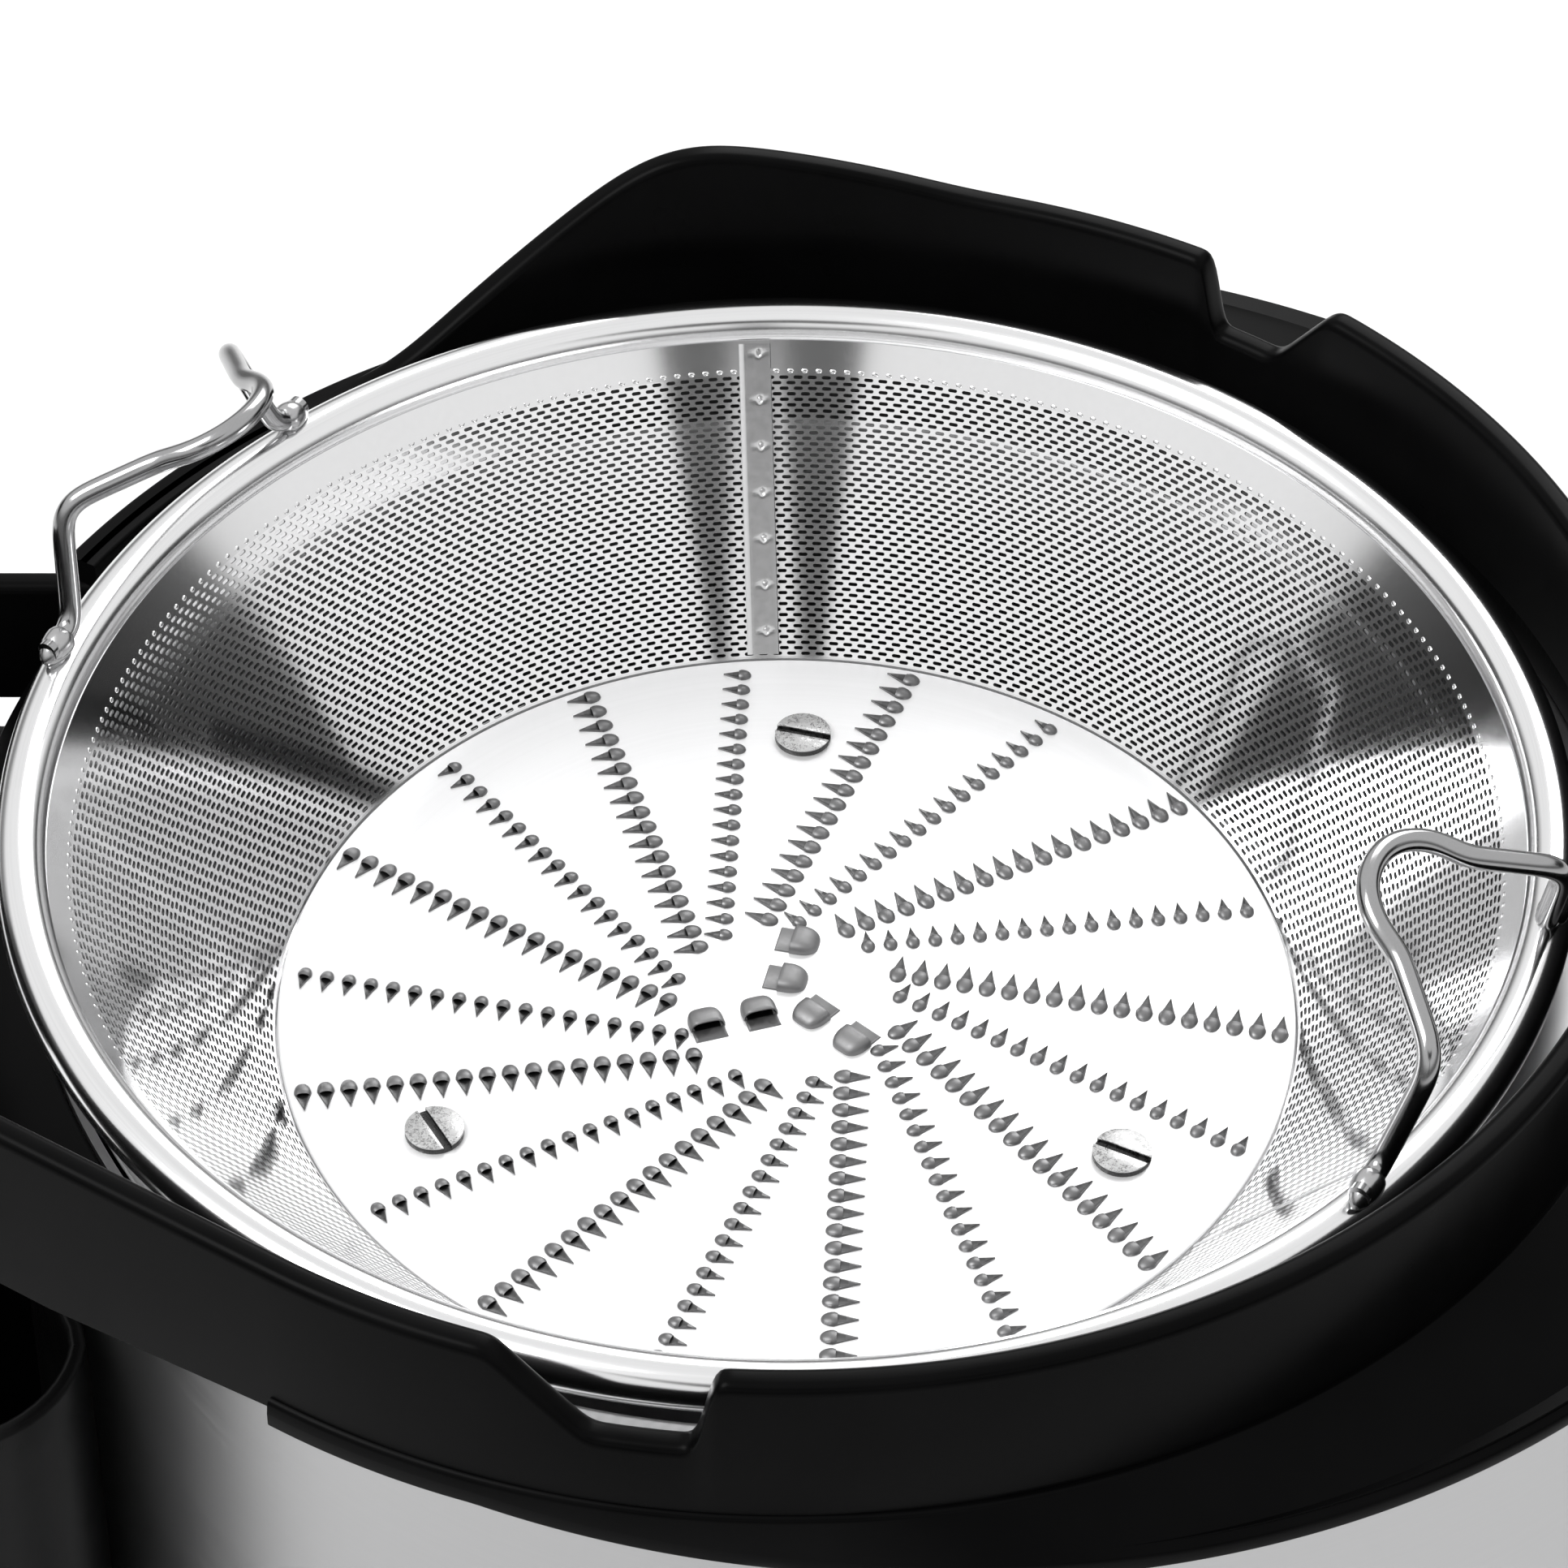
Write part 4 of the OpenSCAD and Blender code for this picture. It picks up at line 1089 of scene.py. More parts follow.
@dataclass
class Sieve:
    """Pierced cone that opens upwards, with its bands and seams."""

    foot: float = 70.0
    lean: tuple[float, float] = (0.6113, 0.7912)
    thickness: float = 0.35
    band_top: float = 46.05
    row_pitch: float = 0.8
    top_count: int = 291
    rows: int = 51
    top_row: float = 40.7
    slot_half: tuple[float, float] = (0.67, 0.25)
    dot: tuple[float, float, float] = (2.05, 0.36, 0.09)
    sectors: int = 8
    seam: tuple[float, float, float] = (92.75, 4.6, 0.1)
    weld: tuple[float, float, float] = (6.7, 4.0, 0.32)
    far_seam: float = 320.0

    def build(self) -> None:
        """Makes and dresses the cone in sectors, then its bands and seams."""
        sides = [Finish.SIEVE, Finish.OUTSIDE]
        for sector in range(self.sectors):
            name = f"sieve_sector_{sector + 1}"
            show(self.sector(sector), name, "basket", sides, ["sieve_wall"], weld=False)
        show(self.bands(), "sieve_bands", "basket", [Finish.SHEET], ["sieve_wall"])
        show(self.seams(), "sieve_seams", "basket", [Finish.SEAM], ["seam_strip"])
        show(self.dots(), "pressed_dots", "basket", [Finish.SHEET], ["sieve_wall"], 80)

    def on_cone(self, s: np.ndarray, angle: np.ndarray, depth: float | np.ndarray) -> np.ndarray:
        """Points on the cone.

        Args:
            s: Distance up its slant.
            angle: Azimuth in radians.
            depth: Distance outwards from its inner face.

        Returns:
            An array of points.
        """
        radius = self.foot + self.lean[0] * s + self.lean[1] * depth
        return polar(radius, angle, self.lean[1] * s - self.lean[0] * depth)

    def laid(self, turn: float, across: np.ndarray, along: np.ndarray, depth: np.ndarray) -> np.ndarray:
        """A net laid on the cone's inner face.

        Args:
            turn: Azimuth of its middle in degrees.
            across: Places across it.
            along: Distances up the slant.
            depth: Distance outwards from the face at each point.

        Returns:
            The net's points.
        """
        s = np.repeat(along[:, None], len(across), 1)
        angle = math.radians(turn) + across[None] / (self.foot + self.lean[0] * s)
        return self.on_cone(s, angle, depth)

    def cells(self, sector: int) -> tuple[np.ndarray, np.ndarray, np.ndarray, np.ndarray]:
        """Places of the holes of one sector.

        Args:
            sector: Number of the sector.

        Returns:
            Slant distance and azimuth of each cell's middle, half its angle, half its hole's length.
        """
        found = []
        for row in range(self.rows):
            s = self.top_row - self.row_pitch * row
            count = self.top_count - 3 * row // 2
            angle = math.radians(self.seam[0]) + (np.arange(count) + 0.5 * (row % 2)) * 2 * math.pi / count
            turn = np.floor(angle / (2 * math.pi) * self.sectors + 1e-9) % self.sectors
            angle = angle[turn == sector]
            one = np.ones(len(angle))
            found.append(np.stack([s * one, angle, math.pi / count * one, self.slot_half[0] * one]))
        s, angle, half, length = np.concatenate(found, 1)
        return s, angle, half, length

    def sector(self, number: int) -> Facets:
        """One sector of the pierced sheet, with a true hole in every cell.

        Args:
            number: Number of the sector.

        Returns:
            The mesh with a normal for each of its points.
        """
        s, angle, half, length = self.cells(number)
        radius = self.foot + self.lean[0] * s
        hole_u = np.array([1, 0.89, 0.63, -0.63, -0.89, -1, -0.89, -0.63, 0.63, 0.89])
        hole_v = np.array([0, 0.71, 1, 1, 0.71, 0, -0.71, -1, -1, -0.71]) * self.slot_half[1]
        edge_u = np.array([1, 1, 0.6, -0.6, -1, -1, -1, -0.6, 0.6, 1])
        edge_v = np.array([0, 1, 1, 1, 1, 0, -1, -1, -1, -1]) * self.row_pitch / 2
        hole_angle = angle[:, None] + hole_u * length[:, None] / radius[:, None]
        hole_s = s[:, None] + hole_v
        edge_angle = angle[:, None] + edge_u * half[:, None]
        edge_s = s[:, None] + edge_v
        shape = Facets()
        size = len(s)
        k = np.arange(10)
        ring = np.stack([k, (k + 1) % 10, (k + 1) % 10 + 10, k + 10], -1)
        base = (np.arange(size) * 20)[:, None, None]

        def inward(turn: np.ndarray) -> np.ndarray:
            """Normal of the cone's inner face at each azimuth."""
            up = np.full_like(turn, self.lean[0])
            return np.stack([-self.lean[1] * np.cos(turn), -self.lean[1] * np.sin(turn), up], -1)

        for depth, sign in ((0.0, 1.0), (self.thickness, -1.0)):
            turn = np.concatenate([hole_angle, edge_angle], 1)
            points = self.on_cone(np.concatenate([hole_s, edge_s], 1), turn, depth)
            quads = (ring + base).reshape(-1, 4)
            shape.add(points, quads if sign > 0 else quads[:, ::-1], 0 if sign > 0 else 1)
            shape.normals.append((sign * inward(turn)).reshape(-1, 3))
        near, far = self.on_cone(hole_s, hole_angle, 0.0), self.on_cone(hole_s, hole_angle, self.thickness)
        middle = self.on_cone(s, angle, self.thickness / 2)[:, None]
        walls = np.concatenate([near, far], 1)
        normal = middle - walls
        normal /= np.linalg.norm(normal, axis=2, keepdims=True)
        shape.add(walls, (ring + base).reshape(-1, 4)[:, ::-1], 1)
        shape.normals.append(normal.reshape(-1, 3))
        return shape

    def bands(self) -> Facets:
        """The plain band above the holes and the foot below them.

        Returns:
            The mesh.
        """
        shape = Facets()
        top = self.top_row + 0.5 * self.row_pitch
        low = self.top_row - (self.rows - 0.5) * self.row_pitch
        for start, end in ((top, self.band_top), (0.0, low)):
            s = np.array([start, start, end, end])
            depth = np.array([0, self.thickness, self.thickness, 0])
            shape.lathe(self.on_cone(s, 0.0, depth)[:, [0, 2]], 360)
        ring = [(self.foot, -1.8), (self.foot + 0.9, -1.8), (self.foot + 0.9, 0.0), (self.foot, 0.0)]
        shape.lathe(np.array(ring), 288)
        return shape

    def seams(self) -> Facets:
        """The lapped seam with its row of welds, and the fine line of the second joint.

        Returns:
            The mesh.
        """
        azimuth, width, rise = self.seam
        shape = Facets()
        along = np.arange(0.6, 45.9, 0.3)
        half = width / 2
        across = half * np.array([-1, -0.96, -0.9, -0.5, -0.36, -0.28, -0.2, -0.12, 0.02, 0.5, 0.94, 1])
        raised = np.array([0, 0.9, 1, 1, 1, 1, 1, 1, 1, 1, 0.8, 0]) * rise
        pitch, first, size = self.weld
        near = np.abs((along - first + pitch / 2) % pitch - pitch / 2)
        dimple = np.exp(-((near[:, None] / size) ** 2) - ((across[None] + 0.24 * half) / 0.3) ** 2)
        shape.grid(self.laid(azimuth, across, along, size * dimple - raised[None]), flip=True)
        thin = np.array([-0.35, -0.12, 0.12, 0.35])
        height = -np.array([0, 0.16, 0.16, 0])[None]
        shape.grid(self.laid(self.far_seam, thin, np.linspace(0.4, 45.5, 60), height), flip=True)
        return shape

    def dots(self) -> Facets:
        """The row of small pressed dots above the holes.

        Returns:
            The mesh.
        """
        pitch, size, rise = self.dot
        shape = Facets()
        s = self.top_row + 1.15 * self.row_pitch
        count = round(2 * math.pi * (self.foot + self.lean[0] * s) / pitch)
        around = np.arange(8) * math.pi / 4
        steps = np.array([1.0, 0.8, 0.45, 0.0])
        for azimuth in np.arange(count) * 2 * math.pi / count:
            reach = size * steps[:, None]
            height = s + reach * np.sin(around)[None]
            turn = azimuth + 1.4 * reach * np.cos(around)[None] / (self.foot + self.lean[0] * s)
            depth = -rise * np.sqrt(1 - steps**2)[:, None] * np.ones(8)
            shape.grid(self.on_cone(height, turn, depth), wrap_v=True)
        return shape


@dataclass
class BasketRim:
    """Rolled bead with the sockets of its two lifting handles."""

    centre: tuple[float, float] = (101.6, 37.0)
    bead: float = 3.4
    lip: tuple[tuple[float, float], ...] = ((98.35, 35.9), (98.9, 35.9), (99.4, 36.6), (98.6, 37.3))
    pivot: tuple[float, float] = (98.5, 42.1)
    turns: tuple[float, float] = (330.5, 149.0)
    socket: tuple[float, float, float] = (2.15, 26.1, 31.1)
    wire: float = 1.53
    tilt: float = 28.0
    shank: tuple[float, float, float] = (31.0, 28.0, 24.5)
    bends: tuple[float, float] = (2.6, 4.5)
    corner: tuple[float, float, float] = (4.0, 19.5, 16.5)
    tip: float = 9.7
    grip: float = 20.5

    def build(self) -> None:
        """Makes and dresses the bead, the sockets and both handles."""
        bead = Facets()
        bead.lathe(arc_points(self.centre, self.bead, 0, 360, 36)[:-1], 360)
        bead.lathe(np.array(self.lip), 360)
        show(bead, "rolled_bead", "basket", [Finish.RIM], ["basket_rim"])
        sockets = Facets()
        for turn in self.turns:
            for side in (-1, 1):
                sockets.place(self.one_socket(side), spun(turn, (self.pivot[0], 0, self.pivot[1])))
        show(sockets, "handle_sockets", "basket", [Finish.SOCKET], ["handle_lugs"])
        for body, turn in (("handle_right", self.turns[0]), ("handle_left", self.turns[1])):
            wire = Facets()
            wire.place(self.one_wire(), spun(turn, (self.pivot[0], 0, self.pivot[1])))
            show(wire, f"{body}_wire", body, [Finish.WIRE], [body])

    def one_socket(self, side: int) -> Facets:
        """One sleeve that a wire's end turns in.

        Args:
            side: Which end of the handle, -1 or 1.

        Returns:
            The mesh about the pivot line.
        """
        radius, near, far = self.socket
        along = np.linspace(near, far, 9)
        drop = np.interp(along, (near, near + 1.5, far), (-0.1, -0.1, -1.3))
        places = (near, near + 0.5, near + 1.2, far - 2.2, far - 0.6, far)
        girth = np.interp(along, places, (0.7, 0.92, 1, 0.94, 0.6, 0.3))
        path = np.stack([np.zeros(9), along, drop], 1) * (1, side, 1)
        shape = Facets()
        shape.tube(path, girth * radius, 24)
        return shape

    def one_wire(self) -> Facets:
        """One handle, standing as it does at rest.

        Returns:
            The mesh about the pivot line.
        """
        tilt, tip = math.radians(self.tilt), self.tip
        lean = np.array([-math.cos(tilt), 0, math.sin(tilt)])
        corner, reach = np.array(self.corner), self.grip - tip
        flank = corner + lean * reach - (0, corner[1] - tip - 0.6, 0)
        end, straight, turn_up = ((0.0, y, 0.0) for y in self.shank)
        legs = [
            (*end, 0),
            (*straight, 0),
            (*turn_up, self.bends[0]),
            (*((np.array(turn_up) + corner) / 2), 0),
            (*corner, self.bends[1]),
            (*flank, 0),
        ]
        half = list(rounded(legs, 7, closed=False))[:-1]
        for turn in np.radians(np.linspace(4, 90, 13)):
            out = lean * (reach + tip * math.sin(turn))
            half.append(corner * (1, 0, 1) + out + (0, tip * math.cos(turn), 0))
        rough = np.array(half + [p * (1, -1, 1) for p in half[-2::-1]])
        run = np.concatenate([[0], np.cumsum(np.linalg.norm(np.diff(rough, axis=0), axis=1))])
        even = np.linspace(0, run[-1], 2 * int(run[-1]) + 1)
        path = np.stack([soften(np.interp(even, run, rough[:, k]), 3.4) for k in range(3)], 1)
        shape = Facets()
        shape.tube(path, self.wire, 20)
        return shape


@dataclass
class BasketUnderside:
    """Floor, hub and rivets below the disc, kept as the model has them."""

    solids: tuple[tuple[str, Finish, float], ...] = (
        ("basket_floor", Finish.SHEET, 0.3),
        ("basket_hub", Finish.TURNED, 0.8),
        ("hub_rivets", Finish.FASTENER, 0.3),
    )

    def build(self) -> None:
        """Dresses the solids."""
        for name, finish, edge in self.solids:
            dress(name, finish, edge)


# ------------------------------------------------------------------ collar, chute and bin


@dataclass
class Collar:
    """Black moulding round the basket, with its lid notches, shoulder and pulp chute."""

    ring: tuple[float, float] = (112.0, 116.0)
    opening: tuple[float, float] = (150.0, 237.0)
    top: float = 53.0
    crest: tuple[tuple[float, float], ...] = (
        (-97.4, 30.0),
        (-57.1, 30.0),
        (-22.4, 57.0),
        (-15.7, 59.5),
        (-12.3, 59.8),
        (25.8, 53.0),
    )
    notches: tuple[tuple[float, float, float], ...] = ((57.5, 5.5, 4.5), (-95.0, 7.0, 6.0))
    notch_depth: float = 12.0
    edge: float = 1.45
    foot: tuple[float, float] = (28.0, 25.0)
    ridge: tuple[float, float] = (116.7, 30.0)
    lip: tuple[float, float, float] = (126.0, 20.0, 22.5)
    seat: tuple[float, float] = (124.9, 23.7)
    flat: tuple[float, float, float] = (36.0, 136.0, 134.9)
    chute_run: float = 142.9
    chute_corner: float = 7.0
    chute_end: float = -181.0
    chute_stop: float = -97.0
    chute_far: float = 58.0
    chute_low: float = 5.0
    chute_far_top: float = 26.0

    def build(self) -> None:
        """Makes and dresses the moulding as one piece."""
        shape = Facets()
        self.wall(shape)
        self.shoulder(shape)
        self.apron(shape)
        replaced = ["collar", "collar_wall", "pulp_chute"]
        show(shape, "collar_moulding", "frame", [Finish.COLLAR], replaced, 40)

    def wall(self, shape: Facets) -> None:
        """Adds the upright wall that runs round the ring and on round the chute.

        Args:
            shape: The mesh to add to.
        """
        middle, half = sum(self.ring) / 2, (self.ring[1] - self.ring[0]) / 2
        start, end = self.opening[0], self.opening[1] - 360
        turn = np.linspace(start, end, 1093)
        crest = np.interp(middle * np.cos(np.radians(turn)), *zip(*self.crest))
        crest = soften(np.where(turn > 0, crest, self.top), 10.0)
        for azimuth, run, ramp in self.notches:
            back = azimuth - turn
            cut = np.clip((back - run) / ramp, 0, 1) * self.notch_depth + self.top - self.notch_depth
            crest = np.where((back >= 0) & (back <= run + ramp), np.minimum(crest, cut), crest)
        crest = soften(crest, 2.0)
        ring = np.stack([middle * np.cos(np.radians(turn)), middle * np.sin(np.radians(turn)), crest], 1)
        way = math.radians(end - 90)
        bend = ring[-1, :2] + self.chute_run * np.array([math.cos(way), math.sin(way)])
        corners = [
            (*ring[-1], 0),
            (*bend, self.top, self.chute_corner),
            (self.chute_end, self.chute_far, self.chute_far_top, self.chute_corner),
            (self.chute_stop, self.chute_far, self.chute_far_top, 0),
        ]
        chute = rounded(corners, 10, closed=False)
        path = np.concatenate([ring, self.spread(chute[1:2], ring[-1:]), chute[2:]])
        high, mid = self.foot
        drop = np.linspace(mid, self.chute_low, 10)
        bottom = [*[high] * len(ring), mid, *drop, *[self.chute_low] * 12]
        low = np.interp(np.linspace(0, 1, len(path)), np.linspace(0, 1, len(bottom)), bottom)
        low[len(ring) : len(ring) + 4] = mid
        shape.loft(self.section(path, low, half))

    @staticmethod
    def spread(last: np.ndarray, first: np.ndarray, count: int = 4) -> np.ndarray:
        """Points at even steps after the first up to and with the last."""
        share = np.linspace(0, 1, count + 1)[1:, None]
        return first * (1 - share) + last * share

    def section(self, path: np.ndarray, low: np.ndarray, half: float) -> np.ndarray:
        """Cross-sections of the wall with its rounded upper edges.

        Args:
            path: Middle of the wall's top, point by point.
            low: Height of the wall's foot at each point.
            half: Half the wall's thickness.

        Returns:
            Rings of points.
        """
        step = np.diff(path[:, :2], axis=0)
        step /= np.linalg.norm(step, axis=1, keepdims=True)
        way = np.vstack([step[:1], step[:-1] + step[1:], step[-1:]])
        way /= np.linalg.norm(way, axis=1, keepdims=True)
        out = np.stack([-way[:, 1], way[:, 0]], 1)
        edge = self.edge
        shape: list[tuple[float, float | None]] = [(half, None)]
        shape += [(half - edge * (1 - c), -edge * (1 - s)) for s, c in quarter(5)]
        shape += [(-u, v) for u, v in reversed(shape)]
        rings = np.zeros((len(path), len(shape), 3))
        for j, (u, v) in enumerate(shape):
            rings[:, j, :2] = path[:, :2] + out * u
            rings[:, j, 2] = low if v is None else path[:, 2] + v
        return rings

    def shoulder(self, shape: Facets) -> None:
        """Adds the sloping shoulder between the wall and the housing.

        Args:
            shape: The mesh to add to.
        """
        start, end = self.opening[0], self.opening[1] - 360
        turn = np.radians(np.linspace(start, end, 361))
        ridge, height = self.ridge
        lip_r, low, high = self.lip
        azimuth, lip_limit, seat_limit = self.flat
        facing = np.maximum(np.cos(turn - math.radians(azimuth)), 0.2)
        true_lip = np.minimum(housing_reach(turn, lip_r), lip_limit / facing)
        lip = np.maximum(true_lip, ridge + 0.25)
        lift = np.clip((lip - true_lip) / 7, 0, 1) * 5.4
        seat_r, under = self.seat
        seat = np.maximum(np.minimum(housing_reach(turn, seat_r), seat_limit / facing), ridge - 3.5)
        rings = []
        for angle, out, rise, inner in zip(turn, lip, lift, np.minimum(seat, lip - 0.8)):
            corners = [
                (inner, under, 0),
                (inner, low + rise, 0),
                (out, low + rise, 0.6),
                (out, high + rise, 1.1),
                (ridge, height, 0.9),
                (self.ring[0], height, 0.5),
                (self.ring[0], under, 0),
            ]
            flat = rounded(corners, 3)
            rings.append(polar(flat[:, 0], angle, flat[:, 1]))
        shape.loft(np.array(rings))

    def apron(self, shape: Facets) -> None:
        """Adds the curved sill that leads the pulp into the bin.

        Args:
            shape: The mesh to add to.
        """
        corners = [(124.8, 20.0, 0.4), (136.0, 11.0, 0.6), (136.0, 13.0, 0.6), (124.8, 22.0, 0.4)]
        shape.lathe(rounded(corners, 3), 60, HOUSING_AXIS, 158.4, 52.6)


@dataclass
class PulpBin:
    """Bin that catches the pulp, hollowed to stand round the housing."""

    left: float = -193.0
    right: float = -93.0
    near: float = -68.0
    far: float = 72.0
    corner: float = 20.0
    nest: float = 127.5
    bottom: float = -243.7
    rim: float = -15.0
    wall: float = 2.5
    rounds: tuple[float, float, float] = (3.0, 0.95, 4.0)
    rows: tuple[float, float] = (-120.0, -22.0)
    end: tuple[float, float] = (-94.8, 60.3)

    def outline(self) -> np.ndarray:
        """Outer outline, anticlockwise from the near left corner.

        Returns:
            Its points.
        """
        c = self.corner
        mid_l, mid_r, mid_n, mid_f = self.left + c, self.right - c, self.near + c, self.far - c
        start = (self.right, self.near + c + 1)
        turn_in = azimuth(start, HOUSING_AXIS) + 360
        turn_out = azimuth(self.end, HOUSING_AXIS)
        far_turn = azimuth(self.end, (mid_r, mid_f))
        parts = [
            arc_points((mid_l, mid_n), c, 180, 270, 12),
            arc_points((mid_r, mid_n), c, 270, 357, 12),
            arc_points(HOUSING_AXIS, self.nest, turn_in - 0.8, turn_out + 0.8, 44),
            arc_points((mid_r, mid_f), c, far_turn + 4, 90, 10),
            arc_points((mid_l, mid_f), c, 90, 180, 12),
        ]
        return np.concatenate(parts)

    def build(self) -> None:
        """Makes and dresses the bin."""
        line, wall = self.outline(), self.wall
        foot, lip, inner = self.rounds
        floor = self.bottom + wall
        levels = [(foot * (1 - s), self.bottom + foot * (1 - c)) for s, c in quarter(5)]
        levels += [*[(0.0, z) for z in self.rows], (0.0, self.rim - lip)]
        levels += [(lip * (1 - c), self.rim - lip * (1 - s)) for s, c in quarter(5, 1)]
        levels += [(wall - lip * (1 - s), self.rim - lip * (1 - c)) for s, c in quarter(5)]
        levels += [*[(wall, z) for z in self.rows[::-1]], (wall, floor + inner)]
        levels += [(wall + inner * (1 - c), floor + inner * (1 - s)) for s, c in quarter(5, 1)]
        rings = [level(inset(line, by), z) for by, z in levels]
        shape = Facets()
        shape.loft(np.array(rings))
        show(shape, "pulp_bin_shell", "pulp_bin", [Finish.BIN], ["pulp_bin"], 40)


# ------------------------------------------------------------------ housing, bowl and spout


@dataclass
class Housing:
    """Brushed shell with a flat that carries its upright vents."""

    radius: float = 124.5
    sheet: float = 1.2
    base: float = -240.0
    top: float = 21.7
    flat: tuple[float, float, float] = (36.0, 112.0, 54.375)
    pitch: float = 9.0625
    count: int = 11
    vent: tuple[float, float, float] = (3.5, -218.0, -158.0)
    frame_z: tuple[float, float] = (-224.0, -152.0)

    def build(self) -> None:
        """Makes and dresses the shell."""
        shape = Facets()
        low, high = self.frame_z
        edge = self.count * self.pitch / 2
        for depth, flip in ((0.0, False), (self.sheet, True)):
            whole = self.outline(depth)
            for levels in ((self.base, low), (high, self.top)):
                shape.grid(self.upright(whole, levels), flip=flip)
            beside = np.linspace(low, high, 5)
            shape.grid(self.upright(self.round_wall(depth), beside), flip=flip)
            for ends in ((-self.flat[2], -edge), (edge, self.flat[2])):
                shape.grid(self.upright(self.on_flat(np.linspace(*ends, 3), depth), beside), flip=flip)
        for z, flip in ((self.top, True), (self.base, False)):
            rings = [level(self.outline(depth), z) for depth in (self.sheet, 0.0)]
            shape.grid(np.array(rings), flip=not flip)
        for k in range(self.count):
            self.pierce(shape, (k - (self.count - 1) / 2) * self.pitch)
        show(shape, "housing_shell", "frame", [Finish.HOUSING], ["outer_housing"], 15)

    def on_flat(self, along: np.ndarray, depth: float) -> np.ndarray:
        """Places on the flat.

        Args:
            along: Distances along it from its middle, anticlockwise.
            depth: Distance inwards from its outer face.

        Returns:
            Plane points.
        """
        turn = math.radians(self.flat[0])
        out, side = (math.cos(turn), math.sin(turn)), (-math.sin(turn), math.cos(turn))
        away = self.flat[1] - depth
        places = [HOUSING_AXIS[k] + away * out[k] + np.asarray(along) * side[k] for k in (0, 1)]
        return np.stack(places, -1)

    def round_wall(self, depth: float) -> np.ndarray:
        """Places on the round part, from the flat's one end to its other.

        Args:
            depth: Distance inwards from its outer face.

        Returns:
            Plane points.
        """
        half = math.degrees(math.asin(self.flat[2] / self.radius))
        start, end = self.flat[0] + half, self.flat[0] - half + 360
        return arc_points(HOUSING_AXIS, self.radius - depth, start, end, 248)

    def outline(self, depth: float) -> np.ndarray:
        """The whole outline, from the flat's first end right round to it again.

        Args:
            depth: Distance inwards from its outer face.

        Returns:
            Plane points.
        """
        face = self.on_flat(np.linspace(-self.flat[2], self.flat[2], 49), depth)
        return np.concatenate([face[:-1], self.round_wall(depth)])

    @staticmethod
    def upright(line: np.ndarray, levels: Sequence[float]) -> np.ndarray:
        """A net that rises straight from a line, with a row at each level."""
        return np.stack([level(line, z) for z in levels], 1)

    def pierce(self, shape: Facets, place: float) -> None:
        """Adds the piece of wall round one vent.

        Args:
            shape: The mesh to add to.
            place: Middle of the vent along the flat.
        """
        width, low, high = self.vent
        z0, z1 = self.frame_z
        half, cell = width / 2, self.pitch / 2
        across = np.linspace(cell, -cell, 5)
        side_z = np.linspace(z1, z0, 5)[1:-1]
        edge = [(a, z1) for a in across] + [(-cell, z) for z in side_z]
        edge += [(a, z0) for a in across[::-1]] + [(cell, z) for z in side_z[::-1]]
        inside = np.linspace(high - half, low + half, 5)[1:-1]
        turns = [math.pi * k / 4 for k in range(5)]
        hole = [(half * math.cos(t), high - half + half * math.sin(t)) for t in turns]
        hole += [(-half, z) for z in inside]
        hole += [(half * math.cos(math.pi + t), low + half + half * math.sin(math.pi + t)) for t in turns]
        hole += [(half, z) for z in inside[::-1]]
        loops = []
        for depth in (0.0, self.sheet):
            for loop in (np.array(edge), np.array(hole)):
                plane = self.on_flat(place + loop[:, 0], depth)
                loops.append(np.column_stack([plane, loop[:, 1]]))
        edge_out, hole_out, edge_in, hole_in = loops
        shape.grid(np.array([edge_out, hole_out]), wrap_v=True, flip=True)
        shape.grid(np.array([edge_in, hole_in]), wrap_v=True)
        shape.grid(np.array([hole_out, hole_in]), wrap_v=True, flip=True)


@dataclass
class Bowl:
    """Spun bowl that catches the juice, with its floor and its sleeve round the shaft."""

    radius: float = 95.4
    sheet: float = 1.2
    floor: float = -32.0
    flange: tuple[float, float] = (22.0, 118.0)
    inside_housing: float = 122.9
    sleeve: tuple[float, float] = (17.5, 18.7)
    sleeve_top: float = -12.0

    def build(self) -> None:
        """Makes and dresses the bowl."""
        inner, outer = self.sleeve
        z = self.flange[0]
        wall, rim = self.radius + self.sheet, self.flange[1]
        corners = [
            (inner, self.floor - self.sheet, 0),
            (wall, self.floor - self.sheet, 2.6),
            (wall, z, 0.8),
            (rim, z, 0.3),
            (rim, z + self.sheet, 0.3),
            (self.radius, z + self.sheet, 1.6),
            (self.radius, self.floor, 1.6),
            (outer, self.floor, 1.6),
            (outer, self.sleeve_top, 0.4),
            (inner, self.sleeve_top, 0.4),
        ]
        profile = rounded(corners, 4)
        angle = np.radians(np.linspace(0, 360, 289)[:-1])
        limit = housing_reach(angle, self.inside_housing)
        share = np.clip((profile[:, 0] - wall) / (rim - wall), 0, 1)
        radius = profile[:, 0][None] + share[None] * (np.minimum(limit, rim) - rim)[:, None]
        net = polar(radius, angle[:, None], profile[:, 1][None])
        shape = Facets()
        shape.grid(net, wrap_u=True, wrap_v=True)
        replaced = ["juice_bowl", "bowl_floor", "bowl_sleeve"]
        show(shape, "spun_bowl", "frame", [Finish.BOWL], replaced)


